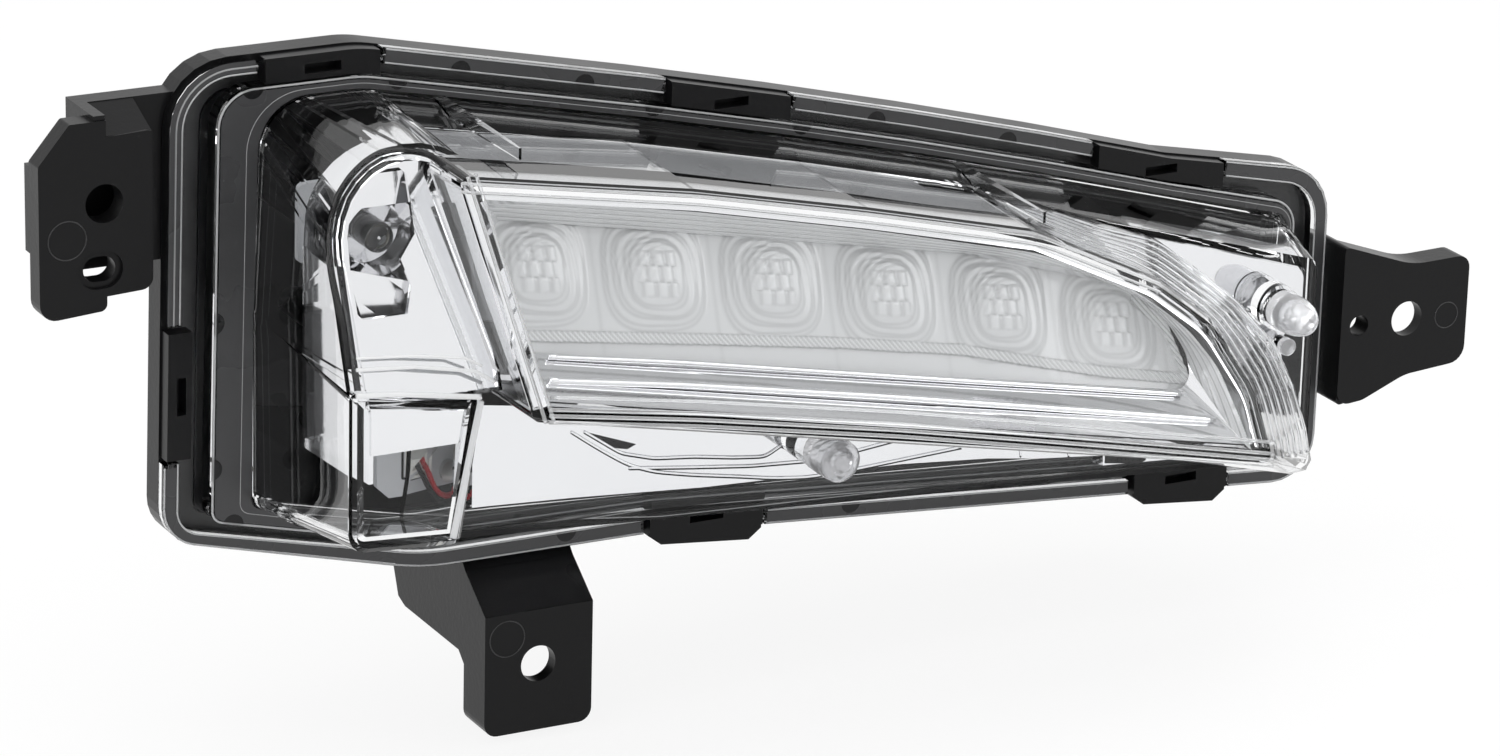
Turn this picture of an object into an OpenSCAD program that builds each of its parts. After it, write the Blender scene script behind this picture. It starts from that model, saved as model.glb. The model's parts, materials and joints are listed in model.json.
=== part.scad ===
// Daytime running light for a bumper: black back shell with three screw
// ears, clear stepped cover, mirror frame, frosted panel and six diodes.
// The origin is the centre of the left ear's screw hole on its front face.
// X runs along the lamp, Y points back into the car and Z points up.

/* [Rim] */
// Left edge of the rim at its foot
rim_left = 14.5; // [14:0.5:17]
// Right edge of the rim
rim_right = 292.5; // [285:0.5:300]
// Height of the rim's flat top above the left screw hole
rim_top = 24; // [22:0.5:27]
// Height of the lower left corner
rim_foot_left = -76; // [-80:0.5:-73]
// Height of the belly under the side window
belly_z = -91; // [-94:0.5:-89]
// Height of the lower right corner
rim_foot_right = -104.5; // [-108:0.5:-103]
// Fall of the top edge for each millimetre of length
top_fall = 0.19; // [0.17:0.01:0.21]
// Extra fall of the top edge, which bows it
top_bow = 0.00026; // [0.0002:0.00002:0.0003]
// Front of the cover's flange behind the ear's front face
flange_y = 7; // [6:0.5:9]
// Depth of the rim's skirt
skirt_depth = 6; // [3:0.2:6]

/* [Back shell] */
// Wall of the back shell
shell_wall = 2.4; // [2:0.1:3]
// Depth of the back shell behind the flange
shell_depth = 46; // [42:1:60]
// Taper of the back shell on each side
shell_taper = 19; // [15:1:22]
// Height of the strengthening ribs on the back
back_rib_h = 3; // [2:0.5:5]

/* [Cover] */
// Wall of the clear cover
lens_wall = 2; // [1.8:0.1:2.6]
// Width of the cover's outer flange strip
strip_w = 3.4; // [2.8:0.2:4]
// Depth of the groove inside the strip
groove_depth = 3.6; // [3:0.2:4.5]
// Clearance between the cover and the pieces it seats on
seat_gap = 0.2; // [0.1:0.05:0.3]
// Diameter of the locating pin
pin_d = 8.4; // [6:0.2:9]
// Length of the locating pin
pin_len = 14; // [10:1:18]
// Diameter of the foot boss under the window
foot_d = 9; // [7:0.5:10]

/* [Window] */
// Front of the window at its upper left corner
window_y = -44; // [-47:0.5:-42]
// Fall back of the window for each millimetre of height
window_rake = 0.3; // [0.26:0.02:0.34]
// Sweep of the window for each millimetre of length
window_sweep = 0.085; // [0.07:0.005:0.1]
// Depth of the frosted panel behind the window
panel_depth = 13; // [12:0.5:15]
// Thickness of the frosted panel
panel_t = 3; // [2.4:0.2:4]
// Number of light cells
cells = 6; // [5:1:6]
// Distance between light cells along the panel
cell_pitch = 27; // [26:0.2:27.4]
// Width of a light cell
cell_w = 22; // [18:1:24]

/* [Ears] */
// Diameter of the three screw holes
hole_d = 8; // [6:0.5:9]
// Thickness of the left ear
ear_t = 5; // [4:0.5:6]
// Thickness of the right ear
right_ear_t = 3; // [2.5:0.5:5]
// Diameter of the small locating hole in the right ear
small_hole_d = 4.8; // [3:0.2:6]
// Width of the lower ear
lower_w = 25; // [22:1:27]
// Height of the lower screw hole
lower_hole_z = -113.6; // [-115:0.2:-113]

/* [Boards] */
// Thickness of the circuit boards
board_t = 1.6; // [1:0.2:2]
// Diameter of the two leads
lead_d = 1.4; // [1.2:0.1:1.8]
// Number of fins on the heat sink
fins = 7; // [5:1:9]

/* [Hidden] */
eps = 0.02;
arc_n = 6;

// Levels along Y, from the flange to the back
strip_t = 2.4;
rim_y = flange_y + strip_t + seat_gap;
groove_y = flange_y + groove_depth;
groove_t = 1.8;
ledge_y = flange_y - 1;
ledge_t = 2.4;
channel_t = 2;
channel_y = groove_y + groove_t + 2.7;
back_y = flange_y + shell_depth;
shoulder_y = -10;

// Insets of the rings from the rim's edge: left, right, top, bottom
groove_in = [10.2, 9.2, 6, 6];
base_in = [19.3, 11.2, 9, 10];
tub_in = [9, 9, 7.5, 7.5];
ridge_w = 1.8;

// Corners of the rim, run anticlockwise as seen from the front
belly_x = rim_left + 58;
run_x = rim_left + 110;
knee_x = rim_left + 40.5;
foot_l_r = 9;
foot_r_r = 10;
head_l_r = 14;
head_r_r = 13;
right_fall = 8.5;
top_steps = 6;
top_last = 42;

function top_at(x) = rim_top - top_fall * max(0, x - knee_x)
    - top_bow * pow(max(0, x - knee_x), 2);

function outline(l, r, t, b, head = head_l_r) = let(
    last = rim_right - top_last,
    step = (last - knee_x - 35) / (top_steps - 1),
    cut = min(l, r, t, b))
    concat([
        [rim_left + l, rim_foot_left + b / 2, max(foot_l_r - cut, 2.5)],
        [belly_x, belly_z + b, 55],
        [run_x, belly_z + b - 0.4, 55],
        [rim_right - r, rim_foot_right + b, max(foot_r_r - cut, 2.5)],
        [rim_right - r, top_at(last) - right_fall - t, max(head_r_r - cut, 3)]],
        [for (i = [0 : top_steps - 1]) [last - i * step, top_at(last - i * step) - t, 0]],
        [[knee_x + 3, rim_top - t, 30],
         [rim_left + 2 + l, rim_top - t, max(head - cut, 3)]]);

function ring(v, d = 0, head = head_l_r) =
    rounded(outline(v[0] + d, v[1] + d, v[2] + d, v[3] + d, head));

// Rounds each corner [x, z, radius] of an anticlockwise outline
function unit(v) = v / norm(v);
function turn(a, b) = atan2(cross(a, b), a * b);
function spin(v, a) = [v[0] * cos(a) - v[1] * sin(a), v[0] * sin(a) + v[1] * cos(a)];
function xy(p) = [p[0], p[1]];
function rounded(p) = [for (i = [0 : len(p) - 1]) let(
    a = xy(p[(i + len(p) - 1) % len(p)]), b = xy(p[i]), c = xy(p[(i + 1) % len(p)]),
    u = unit(b - a), v = unit(c - b), th = turn(u, v), s = th < 0 ? -1 : 1,
    room = 0.48 * min(norm(b - a), norm(c - b)) / max(tan(abs(th) / 2), 0.001),
    r = min(p[i][2], room), t = r * tan(abs(th) / 2),
    n = [-u[1], u[0]] * s, start = b - u * t, hub = start + n * r)
    each (r < 0.05 || abs(th) < 0.5) ? [b]
        : [for (k = [0 : arc_n]) hub - spin(n, th * k / arc_n) * r]];

// A flat plate with an outline in X and Z, from y0 back to y1
module slab(y0, y1, pts) {
    translate([0, y1, 0]) rotate([90, 0, 0]) linear_extrude(y1 - y0) polygon(pts);
}

module band(y0, y1, outer, inner) {
    difference() {
        slab(y0, y1, outer);
        slab(y0 - 1, y1 + 1, inner);
    }
}

// A cylinder that points along Y from y0 back to y1
module rod(x, z, y0, y1, d, fn = 48) {
    translate([x, y0, z]) rotate([-90, 0, 0]) cylinder(h = y1 - y0, d = d, $fn = fn);
}

// Loose points, for a hull to wrap, and an outline's points at one depth
module cloud(pts) {
    polyhedron(points = pts, faces = [[for (i = [0 : len(pts) - 1]) i]]);
}
function at(pts, y) = [for (p = pts) [p[0], y, p[1]]];

// The window plane, and the frame that lies on it
function win_y(x, z) = window_y + window_sweep * (x - 61) + window_rake * (z - 7.6);
rake_a = atan(window_rake);
sweep_a = atan(window_sweep);
frame_x = 70;
frame_z = -40;
module on_window(depth = 0) {
    translate([frame_x, win_y(frame_x, frame_z), frame_z]) rotate([-rake_a, 0, sweep_a])
        translate([0, depth, 0]) children();
}

// Window outline in X and Z
win_drop = 3;
function win_top(x) = top_at(x) - base_in[2] - win_drop;
win_pts = [[68, -37.5, 1.5], [104, -44, 0], [150.4, -53.4, 0], [200, -64.5, 0],
    [244, -74.5, 3], [241, -58, 20], [232, -42.5, 20], [218.5, -32, 20], [190, win_top(190), 0],
    [150, win_top(150), 0], [110, win_top(110), 0], [57, 10.6, 2]];

// Moves each corner of an outline inwards by d
function inset(p, d) = [for (i = [0 : len(p) - 1]) let(
    a = xy(p[(i + len(p) - 1) % len(p)]), b = xy(p[i]), c = xy(p[(i + 1) % len(p)]),
    u = unit(b - a), v = unit(c - b), m = [-u[1], u[0]], n = [-v[1], v[0]],
    q = b + (m + n) * d / (1 + m * n)) [q[0], q[1], max(p[i][2] - d, 0)]];

function on_plane(pts, back) = [for (p = pts) [p[0], win_y(p[0], p[1]) + back, p[1]]];

// The cover's swept right end: upper and lower edge of the wrap
wrap_top = [[185, -12, -17.8], [205, -13, -23], [225, -14, -30], [236, -13, -34.5], [247.3, -13, -43], [257.5, -13, -51.4],
    [267.4, -13, -62.4], [272.6, -13, -72], [276.7, -13, -83.1], [278.6, -13, -91]];
wrap_edge = [[277, -13.5, -93], [271, -16.5, -92], [245, -28, -81.6], [202, -46, -66]];

// The wrap's points, moved into the cover by d
function wrap(d) = concat([for (k = [0 : len(wrap_top) - 1])
    wrap_top[k] + [-d, d * 1.1, d * (-0.5 + 1.3 * k / (len(wrap_top) - 1))]],
    [for (p = wrap_edge) p + [-d * 0.6, d * 0.8, d]]);

// Arch of the side window, on its own raked plane
arch_x = 53.5;
arch_z = -7;
arch_r = 20;
arch_y0 = -31;
arch_rake = 0.38;
arch_foot = -27;
arch_right = 66;
function arch_y(z) = arch_y0 + arch_rake * z;
function arch_pts(d) = concat([[arch_x - arch_r + d, arch_foot - 7], [arch_right, arch_foot - 7],
    [arch_right, 2]], [for (a = [55 : 12.5 : 180]) [arch_x + (arch_r - d) * cos(a),
    arch_z + (arch_r - d) * sin(a)]]);
function arch_front(d, back) = [for (p = arch_pts(d)) [p[0], arch_y(p[1]) + back, p[1]]];

// Box under the side window
box_y = -45;
box_top = -31;
box_fall = 0.15;
box_pts = [[33, -63.5, 4], [57, -65, 2], [62, box_top + 1 - box_fall * 29, 1.5], [33, box_top + 1, 1.5]];

// Solid nose of the cover, made smaller by d on every side
nose_c = 1.2;
module nose(d) {
    c = nose_c;
    foot = ledge_y + (d > 0 ? 1.7 : 0.8);
    base = ring(base_in, d, 20);
    left = rim_left + base_in[0] + d;
    hull() cloud(concat(at(base, foot), at(ring(base_in + [1.5, 2, 5, 2.5], d, 20), shoulder_y + d)));
    hull() cloud(concat(at(rounded(inset(win_pts, d - 1)), shoulder_y + 3),
        on_plane(rounded(inset(win_pts, d)), d + c * 2), on_plane(rounded(inset(win_pts, d + c)), d)));
    hull() cloud(concat(wrap(d), [for (p = wrap(d)) [p[0], shoulder_y + 3, p[2]]],
        on_plane([for (p = rounded(inset(win_pts, d + c + 0.5))) if (p[0] > 180) p], d + 0.4)));
    hull() cloud(concat(at([for (p = base) if (p[0] < 74 && p[1] > -30) p], foot - 0.3),
        [[left + 0.1, foot - 0.3, -34], [74, foot - 0.3, -34]], arch_front(d, d + c), arch_front(d + c, d)));
    hull() cloud(concat(at([for (p = base) if (p[0] < 60 && p[1] < -31) p], foot - 0.5),
        [[left + 0.2, foot - 0.5, -29], [64, foot - 0.5, -29], [62, foot - 0.5, belly_z + base_in[3] + d + 3]],
        at(rounded(inset(box_pts, d)), box_y + d + c), at(rounded(inset(box_pts, d + c)), box_y + d)));
}

// Snap hooks: start and length along the rim, on the top, foot and left
hook_gap = 1;
top_hooks = [[37, 25], [128, 28], [232, 32]];
foot_hooks = [[125, 27], [245, 24]];
left_hook = [-58.5, 27];
hook_front = flange_y - 1;
hook_in = 5.6;

module hook_zone(grow) {
    for (h = top_hooks) translate([h[0] - grow, 0, -50]) cube([h[1] + grow * 2, 40, 90]);
    for (h = foot_hooks) translate([h[0] - grow, 0, -120]) cube([h[1] + grow * 2, 40, 50]);
    translate([0, 0, left_hook[0] - grow]) cube([rim_left + 16, 40, left_hook[1] + grow * 2]);
}

module hooks() {
    foot_clips();
    intersection() {
        difference() {
            slab(hook_front, rim_y + eps, ring([0.4, 0.4, 0.4, 0.4]));
            slab(hook_front - 1, rim_y + 1, ring([hook_in, hook_in, hook_in, hook_in]));
            hook_slots();
        }
        hook_zone(0);
    }
}

// The foot hooks stand out below the rim, with chamfered ends
clip_out = 2.8;
clip_cut = 3;
function foot_at(x) = belly_z - 0.4 - 0.078 * (x - run_x);
module foot_clips() {
    for (h = foot_hooks) let(a = h[0], b = h[0] + h[1])
        slab(hook_front + 0.6, rim_y + 4.5, [[a, foot_at(a) + 1.2], [a, foot_at(a) - 0.5],
            [a + clip_cut, foot_at(a) - clip_out], [b - clip_cut, foot_at(b) - clip_out],
            [b, foot_at(b) - 0.5], [b, foot_at(b) + 1.2]]);
}

// A window through each hook
module hook_slots() {
    slot_w = 8;
    slot_h = 2;
    for (h = top_hooks) let(x = h[0] + h[1] / 2)
        translate([x - slot_w / 2, 0, top_at(x) - 4.4]) cube([slot_w, rim_y - eps, slot_h]);
    for (h = foot_hooks) let(x = h[0] + h[1] / 2)
        translate([x - slot_w / 2, 0, belly_z - 0.078 * (x - run_x) + 1.9])
            cube([slot_w, rim_y - eps, slot_h]);
    translate([rim_left + 3, 0, left_hook[0] + left_hook[1] / 2 - slot_w / 2])
        cube([slot_h, rim_y - eps, slot_w]);
}

// Back shell, with channel, ribs, ears and loom socket in one moulding
module housing() {
    color([0.06, 0.06, 0.065]) difference() {
        union() {
            difference() {
                union() {
                    slab(rim_y, rim_y + skirt_depth, ring([0, 0, 0, 0]));
                    slab(rim_y + skirt_depth - eps, channel_y + channel_t, ring([2, 2, 2, 2]));
                    tub(0);
                    left_ear();
                    right_ear();
                    lower_ear();
                    back_ribs();
                    socket_shroud();
                    vent_boss();
                }
                slab(rim_y - 3, channel_y, ring([ridge_w, ridge_w, ridge_w, ridge_w]));
                tub(shell_wall);
            }
            band(groove_y + groove_t + seat_gap, channel_y + eps, ring(tub_in, 0), ring(tub_in, ridge_w));
            hooks();
            inner_posts();
        }
        rod(0, 0, -1, ear_t + 1, hole_d);
        ear_slot();
        rod(lower_hole_x, lower_hole_z, -1, lower_t + 1, hole_d);
        rod(right_hole_x, right_hole_z, -1, right_ear_t + 1, hole_d);
        rod(small_hole_x, right_hole_z, -1, right_ear_t + 3, small_hole_d);
        socket_hollow();
        rod(vent_x, vent_z, back_y - 10, back_y + 10, vent_bore);
    }
}

// Tub behind the channel, tapered to the back
tub_y = channel_y + channel_t;
module tub(d) {
    hull() {
        slab(tub_y - (d > 0 ? channel_t + eps : eps), tub_y, ring(tub_in, d));
        slab(back_y - d - eps, back_y - d, ring(tub_in + [1, 1, 0.62, 0.62] * shell_taper, d));
    }
}

module back_ribs() {
    rib_t = 2;
    for (i = [0 : 4]) let(x = rim_left + 62 + i * 33)
        translate([x, back_y - 1, top_at(x) - shell_taper * 0.62 - 24])
            cube([rib_t, back_rib_h + 1, 16]);
    translate([rim_left + 62, back_y - 1, -42]) cube([133, back_rib_h + 1, rib_t]);
}

// Left ear: an offset web, a return wall and a front plate with a hole
plate_pts = [[-13.8, -23.2, 3.5], [0.4, -22.2, 2.5], [0.4, -19.3, 0], [10.2, -18.8, 2.5],
    [10.2, 14, 1], [0.5, 13.6, 0], [0.5, 17, 0], [-7.2, 17, 0.8], [-13.8, 9.1, 0.8]];
web_y = 10;
web_left = -2;
web_foot = -16.6;
web_head = 18;
slot_x = -0.9;
slot_z = -13.7;
slot_len = 6.8;
slot_w = 5.2;

module left_ear() {
    slab(0, ear_t, rounded(plate_pts));
    translate([web_left, web_y, web_foot]) cube([rim_left + 5 - web_left, ear_t, web_head - web_foot]);
    translate([7.2, 0.4, web_foot]) cube([3, web_y + ear_t - 0.4, 13.8 - web_foot]);
    translate([web_left, 0.4, 13.6]) cube([2.5, web_y + ear_t - 0.4, web_head - 13.6]);
    // Sloping gusset over the return wall
    translate([0.4, 0, 0]) rotate([90, 0, 90]) linear_extrude(9.8)
        polygon([[0.2, 10], [0.2, 13.7], [web_y + 0.5, web_head], [web_y + 0.5, 14], [3, 10]]);
    translate([-13.8, 0.4, -10]) cube([2, ear_t + 2, 18]);
}

module ear_slot() {
    for (s = [[slot_w, -1, ear_t + 1], [slot_w + 2.6, -1, 0.9]]) hull() {
        rod(slot_x - (slot_len - slot_w) / 2, slot_z, s[1], s[2], s[0]);
        rod(slot_x + (slot_len - slot_w) / 2, slot_z, s[1], s[2], s[0]);
    }
}

// Right ear: a waisted plate that grows forward from the rim's side
right_hole_x = 310.6;
right_hole_z = -66.6;
small_hole_x = 298;
right_pts = [[293.2, -85, 3], [300, -84.4, 6], [311, -79.9, 12], [326.7, -78.7, 4],
    [326.7, -53.6, 3], [311.5, -54, 20], [293.2, -47.5, 1]];
right_rib = 7;

module right_ear() {
    slab(0, right_ear_t, rounded(right_pts));
    band(0.4, right_rib, rounded(right_pts), rounded(inset(right_pts, 2.2)));
    slab(0.4, rim_y + 6, rounded([[293.2, -85, 2], [296, -84.5, 1], [296, -48.5, 1], [293.2, -47.5, 1]]));
    slab(rim_y, rim_y + 6, rounded([[rim_right - 6, -84, 1], [296, -84.5, 1], [296, -48.5, 1],
        [rim_right - 6, -49, 1]]));
    rod(small_hole_x, right_hole_z, right_ear_t - 0.5, right_ear_t + 2, small_hole_d + 3.2);
}

// Lower ear: an arm that drops from the belly, with an open ribbed back
lower_x = 83.8;
lower_hole_x = lower_x + lower_w / 2 - 0.1;
lower_t = 3.2;
lower_foot = -128.6;
arm_foot = -113.2;
arm_pts = [[0, lower_foot], [0, -101.4], [10, -94.4], [16, -88], [40, -72], [46, -76],
    [46, -106], [43.5, -112], [40, arm_foot], [13, arm_foot], [10.3, -115.5], [10.3, lower_foot]];

module lower_ear() {
    rib = 2.4;
    front = [[lower_x, lower_foot, 3], [lower_x + lower_w, lower_foot, 3],
        [lower_x + lower_w, -101.4, 0.5], [lower_x, -101.4, 0.5]];
    slab(0, lower_t, rounded(front));
    for (x = [lower_x, lower_x + lower_w - rib]) intersection() {
        translate([x, 0, 0]) rotate([90, 0, 90]) linear_extrude(rib) polygon(arm_pts);
        union() {
            slab(0, 12, rounded(front));
            translate([lower_x, 0, arm_foot - 3]) cube([lower_w, 60, 60]);
        }
    }
    // Sloping roof and back wall between the two side ribs
    translate([lower_x, 0, 0]) rotate([90, 0, 90]) linear_extrude(lower_w)
        polygon([[0, -104.4], [0, -101.4], [10, -94.4], [16, -88], [24, -83], [24, -86],
            [16, -91.2], [10.5, -97.3], [2.4, -103.1]]);
    translate([lower_x, 34, arm_foot]) cube([lower_w, rib, 32]);
    translate([lower_x, 11, arm_foot]) cube([lower_w, 25, rib]);
}

// Loom socket on the back, with two blades
loom_x = 190;
loom_z = -48;
loom_w = 24;
loom_h = 15;
loom_len = 20;
module socket_shroud() {
    slab(back_y - 1, back_y + loom_len, rounded([[loom_x - loom_w / 2, loom_z - loom_h / 2, 3],
        [loom_x + loom_w / 2, loom_z - loom_h / 2, 3], [loom_x + loom_w / 2, loom_z + loom_h / 2, 3],
        [loom_x - loom_w / 2, loom_z + loom_h / 2, 3]]));
    translate([loom_x - 4, back_y, loom_z + loom_h / 2 - 1]) cube([8, 6, 3.4]);
}
module socket_hollow() {
    w = loom_w - 4;
    h = loom_h - 4;
    slab(back_y + 2, back_y + loom_len + 1, rounded([[loom_x - w / 2, loom_z - h / 2, 2],
        [loom_x + w / 2, loom_z - h / 2, 2], [loom_x + w / 2, loom_z + h / 2, 2],
        [loom_x - w / 2, loom_z + h / 2, 2]]));
    for (x = blade_x) translate([loom_x + x - blade_w / 2 - 0.1, back_y - 5, loom_z - blade_t / 2 - 0.1])
        cube([blade_w + 0.2, 10, blade_t + 0.2]);
}
blade_x = [-4, 4];
blade_w = 2.8;
blade_t = 0.8;
module contact_pins() {
    color("silver") for (x = blade_x)
        translate([loom_x + x - blade_w / 2, back_y - shell_wall - 4, loom_z - blade_t / 2])
            cube([blade_w, shell_wall + 4 + loom_len - 6, blade_t]);
}

// Breather boss and its cap
vent_x = 70;
vent_z = -30;
vent_d = 16;
vent_bore = 7;
vent_h = 3.5;
module vent_boss() {
    rod(vent_x, vent_z, back_y - 1, back_y + vent_h, vent_d);
}
module vent_cap() {
    color([0.1, 0.1, 0.1]) translate([vent_x, back_y + vent_h + seat_gap, vent_z]) rotate([-90, 0, 0])
        rotate_extrude($fn = 48) polygon([[0, 0], [1.2, 0], [2.4, 0], [vent_d / 2 - 1, 0],
            [vent_d / 2 - 1, 2.2], [vent_d / 2 - 2, 3], [0, 3]]);
    color([0.1, 0.1, 0.1]) rod(vent_x, vent_z, back_y - shell_wall - 2, back_y + vent_h + seat_gap + eps,
        vent_bore - 0.6);
}

// Posts inside the shell that carry the boards
post_d = 6;
post_bore = 2.6;
driver_posts = [[63, -44], [79.4, -44], [79.6, -68.4]];
sink_posts = [[78, -24], [212, -58]];
sink_mid = 16;
side_posts = [[50.5, -12.4], [55, -2]];
module inner_posts() {
    for (p = driver_posts) difference() {
        rod(p[0], p[1], driver_y + board_t + seat_gap, back_y - 1, post_d, 32);
        rod(p[0], p[1], driver_y, driver_y + board_t + 12, post_bore, 24);
    }
    for (p = side_posts) rod(p[0], p[1], cup_back + led_h + board_t + 0.15, back_y - 1, post_d, 32);
    for (p = sink_posts) difference() {
        rod(p[0], p[1], sink_mid, back_y - 1, post_d + 1, 32);
        rod(p[0], p[1], sink_mid - 1, sink_mid + 10, post_bore, 24);
    }
}

// Clear cover: flange strip, groove, ledge, stepped nose, pins and foot
module outer_lens() {
    color([0.85, 0.9, 0.93, 0.35]) difference() {
        union() {
            difference() {
                band(flange_y, flange_y + strip_t, ring([0, 0, 0, 0]), ring([strip_w, strip_w, strip_w, strip_w]));
                hook_zone(hook_gap);
                corner_step();
            }
            band(flange_y, groove_y + groove_t, ring([2, 2, 2, 2]),
                ring([strip_w, strip_w, strip_w, strip_w]));
            band(groove_y, groove_y + groove_t, ring([2, 2, 2, 2]), ring(groove_in, 2));
            band(ledge_y, groove_y + groove_t, ring(groove_in), ring(groove_in, 2));
            slab(ledge_y, ledge_y + ledge_t, ring(groove_in));
            nose(0);
            cover_pins();
        }
        hook_zone_front();
        nose(lens_wall);
        slab(ledge_y + 1.2, ledge_y + 20, ring(base_in, lens_wall - 0.5, 20));
    }
}

// The strip is set back from the shell's edge round the upper left corner
step_in = 1.6;
module corner_step() {
    intersection() {
        band(flange_y - 1, flange_y + strip_t + 1, ring([-2, -2, -2, -2]), ring([step_in, step_in, step_in, step_in]));
        translate([0, 0, left_hook[0] + left_hook[1] / 2]) cube([top_hooks[0][0] + 5, 40, 90]);
    }
}

// Clears the strip in front of each hook, down to the groove
module hook_zone_front() {
    intersection() {
        slab(flange_y - 1, rim_y + 0.2, ring([-5, -5, -5, -5]));
        difference() {
            hook_zone(hook_gap);
            slab(-10, 40, ring([hook_in + 0.6, hook_in + 0.6, hook_in + 0.6, hook_in + 0.6]));
        }
    }
}

pin_x = 267.5;
pin_z = -53.8;
pin_root = -12;
foot_x = 151.7;
foot_z = -67.4;
foot_len = 18;
module cover_pins() {
    tip = pin_d * 0.26;
    rod(pin_x, pin_z, pin_root - 1.6, 0, pin_d + 1.6);
    translate([pin_x, pin_root, pin_z]) rotate([90, 0, 0]) rotate_extrude($fn = 40)
        polygon([[0, -8], [pin_d / 2, -8], [pin_d / 2, pin_len * 0.55],
            [pin_d / 2 - 1.1, pin_len * 0.82], [pin_d / 2 - 2, pin_len * 0.95], [tip * 0.5, pin_len], [0, pin_len]]);
    rod(270.4, -63.4, pin_root - 2, 0, 3.6, 24);
    rod(foot_x, foot_z, shoulder_y - foot_len, shoulder_y + 1, foot_d);
    rod(foot_x, foot_z, shoulder_y - foot_len - 1, shoulder_y, foot_d * 0.5);
    // Two tapered guide blades on top of the nose
    for (b = [[75, 11.4], [196, -17.4]]) translate([b[0], 0, b[1] - 2.4]) linear_extrude(2.4)
        polygon([[-1.3, ledge_y], [1.3, ledge_y], [0.3, ledge_y - 38], [-0.3, ledge_y - 38]]);
}

// Glue in the channel, behind the cover's groove
module sealing_bead() {
    color([0.15, 0.15, 0.15]) band(groove_y + groove_t + 0.1, channel_y - 0.1,
        ring([2.2, 2.2, 2.2, 2.2]), ring(tub_in, -0.4));
}

// Mirror frame inside the nose, open at the window, arch and box
bezel_gap = 0.4;
bezel_wall = 1;
bezel_back = -3;
frame_top_back = -5;
notch_pts = [[36.9, -44], [57.6, -44], [59.6, -45.4], [60.1, -47], [59.4, -53], [56, -90], [20, -90], [20, -50]];
// The front plate under the window ends above the shell's floor
plate_foot = [[60, -72.2], [79, -72.9], [99.5, -74.1], [129.6, -76.4], [177.5, -78.4],
    [198.7, -80.3], [213, -82.4], [227.6, -83.9], [229, -112], [60, -112]];
// Opening round the side cup, and the frame's tilted left cheek
cup_pts = [[38.4, -17.3], [39.4, -18.4], [48.9, -18.4], [50.6, -13.4], [49.1, -8.3], [52.9, -4],
    [52.9, 7], [51.5, 8.4], [49, 8.4], [45.5, 7.3], [42.3, 5], [40, 1.5], [38.6, -3], [38.2, -9]];
cheek_front = 37.6;
cheek_slope = 0.07;
cheek_top = -8;
cheek_foot = -50;
cheek_back = -17.6;
function cheek_x(y) = cheek_front - cheek_slope * (y - box_y - lens_wall - 2);
module cheek() {
    sunk = bezel_in + bezel_wall * 0.5;
    intersection() {
        translate([0, 0, cheek_foot]) linear_extrude(cheek_top - cheek_foot)
            polygon([[cheek_x(-46), -46], [cheek_x(-46) + bezel_wall, -46],
                [cheek_x(cheek_back) + bezel_wall, cheek_back], [cheek_x(cheek_back), cheek_back]]);
        translate([30, 0, 0]) rotate([90, 0, 90]) linear_extrude(14)
            polygon([[cheek_back, cheek_top], [arch_y(cheek_top) + sunk, cheek_top],
                [arch_y(box_top - 2.5) + sunk, box_top - 2.5], [box_y + sunk, box_top - 4.5],
                [box_y + sunk, cheek_foot], [cheek_back, cheek_foot]]);
    }
}
function on_glass(p) = let(w = (p[1] - frame_z) / cos(rake_a))
    [((p[0] - frame_x) + w * sin(rake_a) * sin(sweep_a)) / cos(sweep_a), w, p[2]];
win_local = [for (p = win_pts) on_glass(p)];
bezel_in = lens_wall + bezel_gap;
module bezel() {
    color([0.85, 0.85, 0.87]) union() {
        difference() {
            nose(bezel_in);
            nose(bezel_in + bezel_wall);
            translate([0, bezel_back, -200]) cube([400, 100, 400]);
            translate([0, -17, -200]) cube([50, 100, 400]);
            slab(-12, 50, [[49, -46], [180, -67], [180, -20.8], [150, -13.8], [110, -4.5], [57, 5.5],
                [57, 60], [49, 60]]);
            slab(frame_top_back, 50, [[56, 0], [181, -25], [181, 60], [56, 60]]);
            slab(-12, 50, [[178, -67], [200, -70], [232, -52], [232, 60], [178, 60]]);
            slab(-12, 50, [[20, -90], [76.5, -90], [76.5, -57], [20, -57]]);
            on_window(0) slab(-2, 24, rounded(inset(win_local, bezel_in + bezel_wall + 0.3)));
            slab(-60, 20, cup_pts);
            slab(-11.5, 1, plate_foot);
            translate([0.3, 0, -95]) linear_extrude(95 + cheek_top - 0.4)
                polygon([[20, -60], [cheek_x(-60), -60], [cheek_x(0), 0], [20, 0]]);
            slab(-60, 20, notch_pts);
            slab(-38, -7.4, [[20, -90], [66, -90], [66, -46], [20, -50]]);
        }
        cheek();
        // Funnel from the window opening back to the panel
        intersection() {
            nose(bezel_in + bezel_wall * 0.5);
            on_window(0) difference() {
                hull() {
                    slab(bezel_in, bezel_in + 1, rounded(inset(win_local, bezel_in)));
                    slab(panel_depth - 1.6, panel_depth - 0.6, rounded(inset(panel_pts, -1)));
                }
                hull() {
                    slab(bezel_in - 1, bezel_in + 0.4, rounded(inset(win_local, bezel_in + bezel_wall + 0.3)));
                    slab(panel_depth - 1.6, panel_depth - 0.4, rounded(inset(panel_pts, 0.8)));
                }
            }
        }
    }
}

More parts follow.
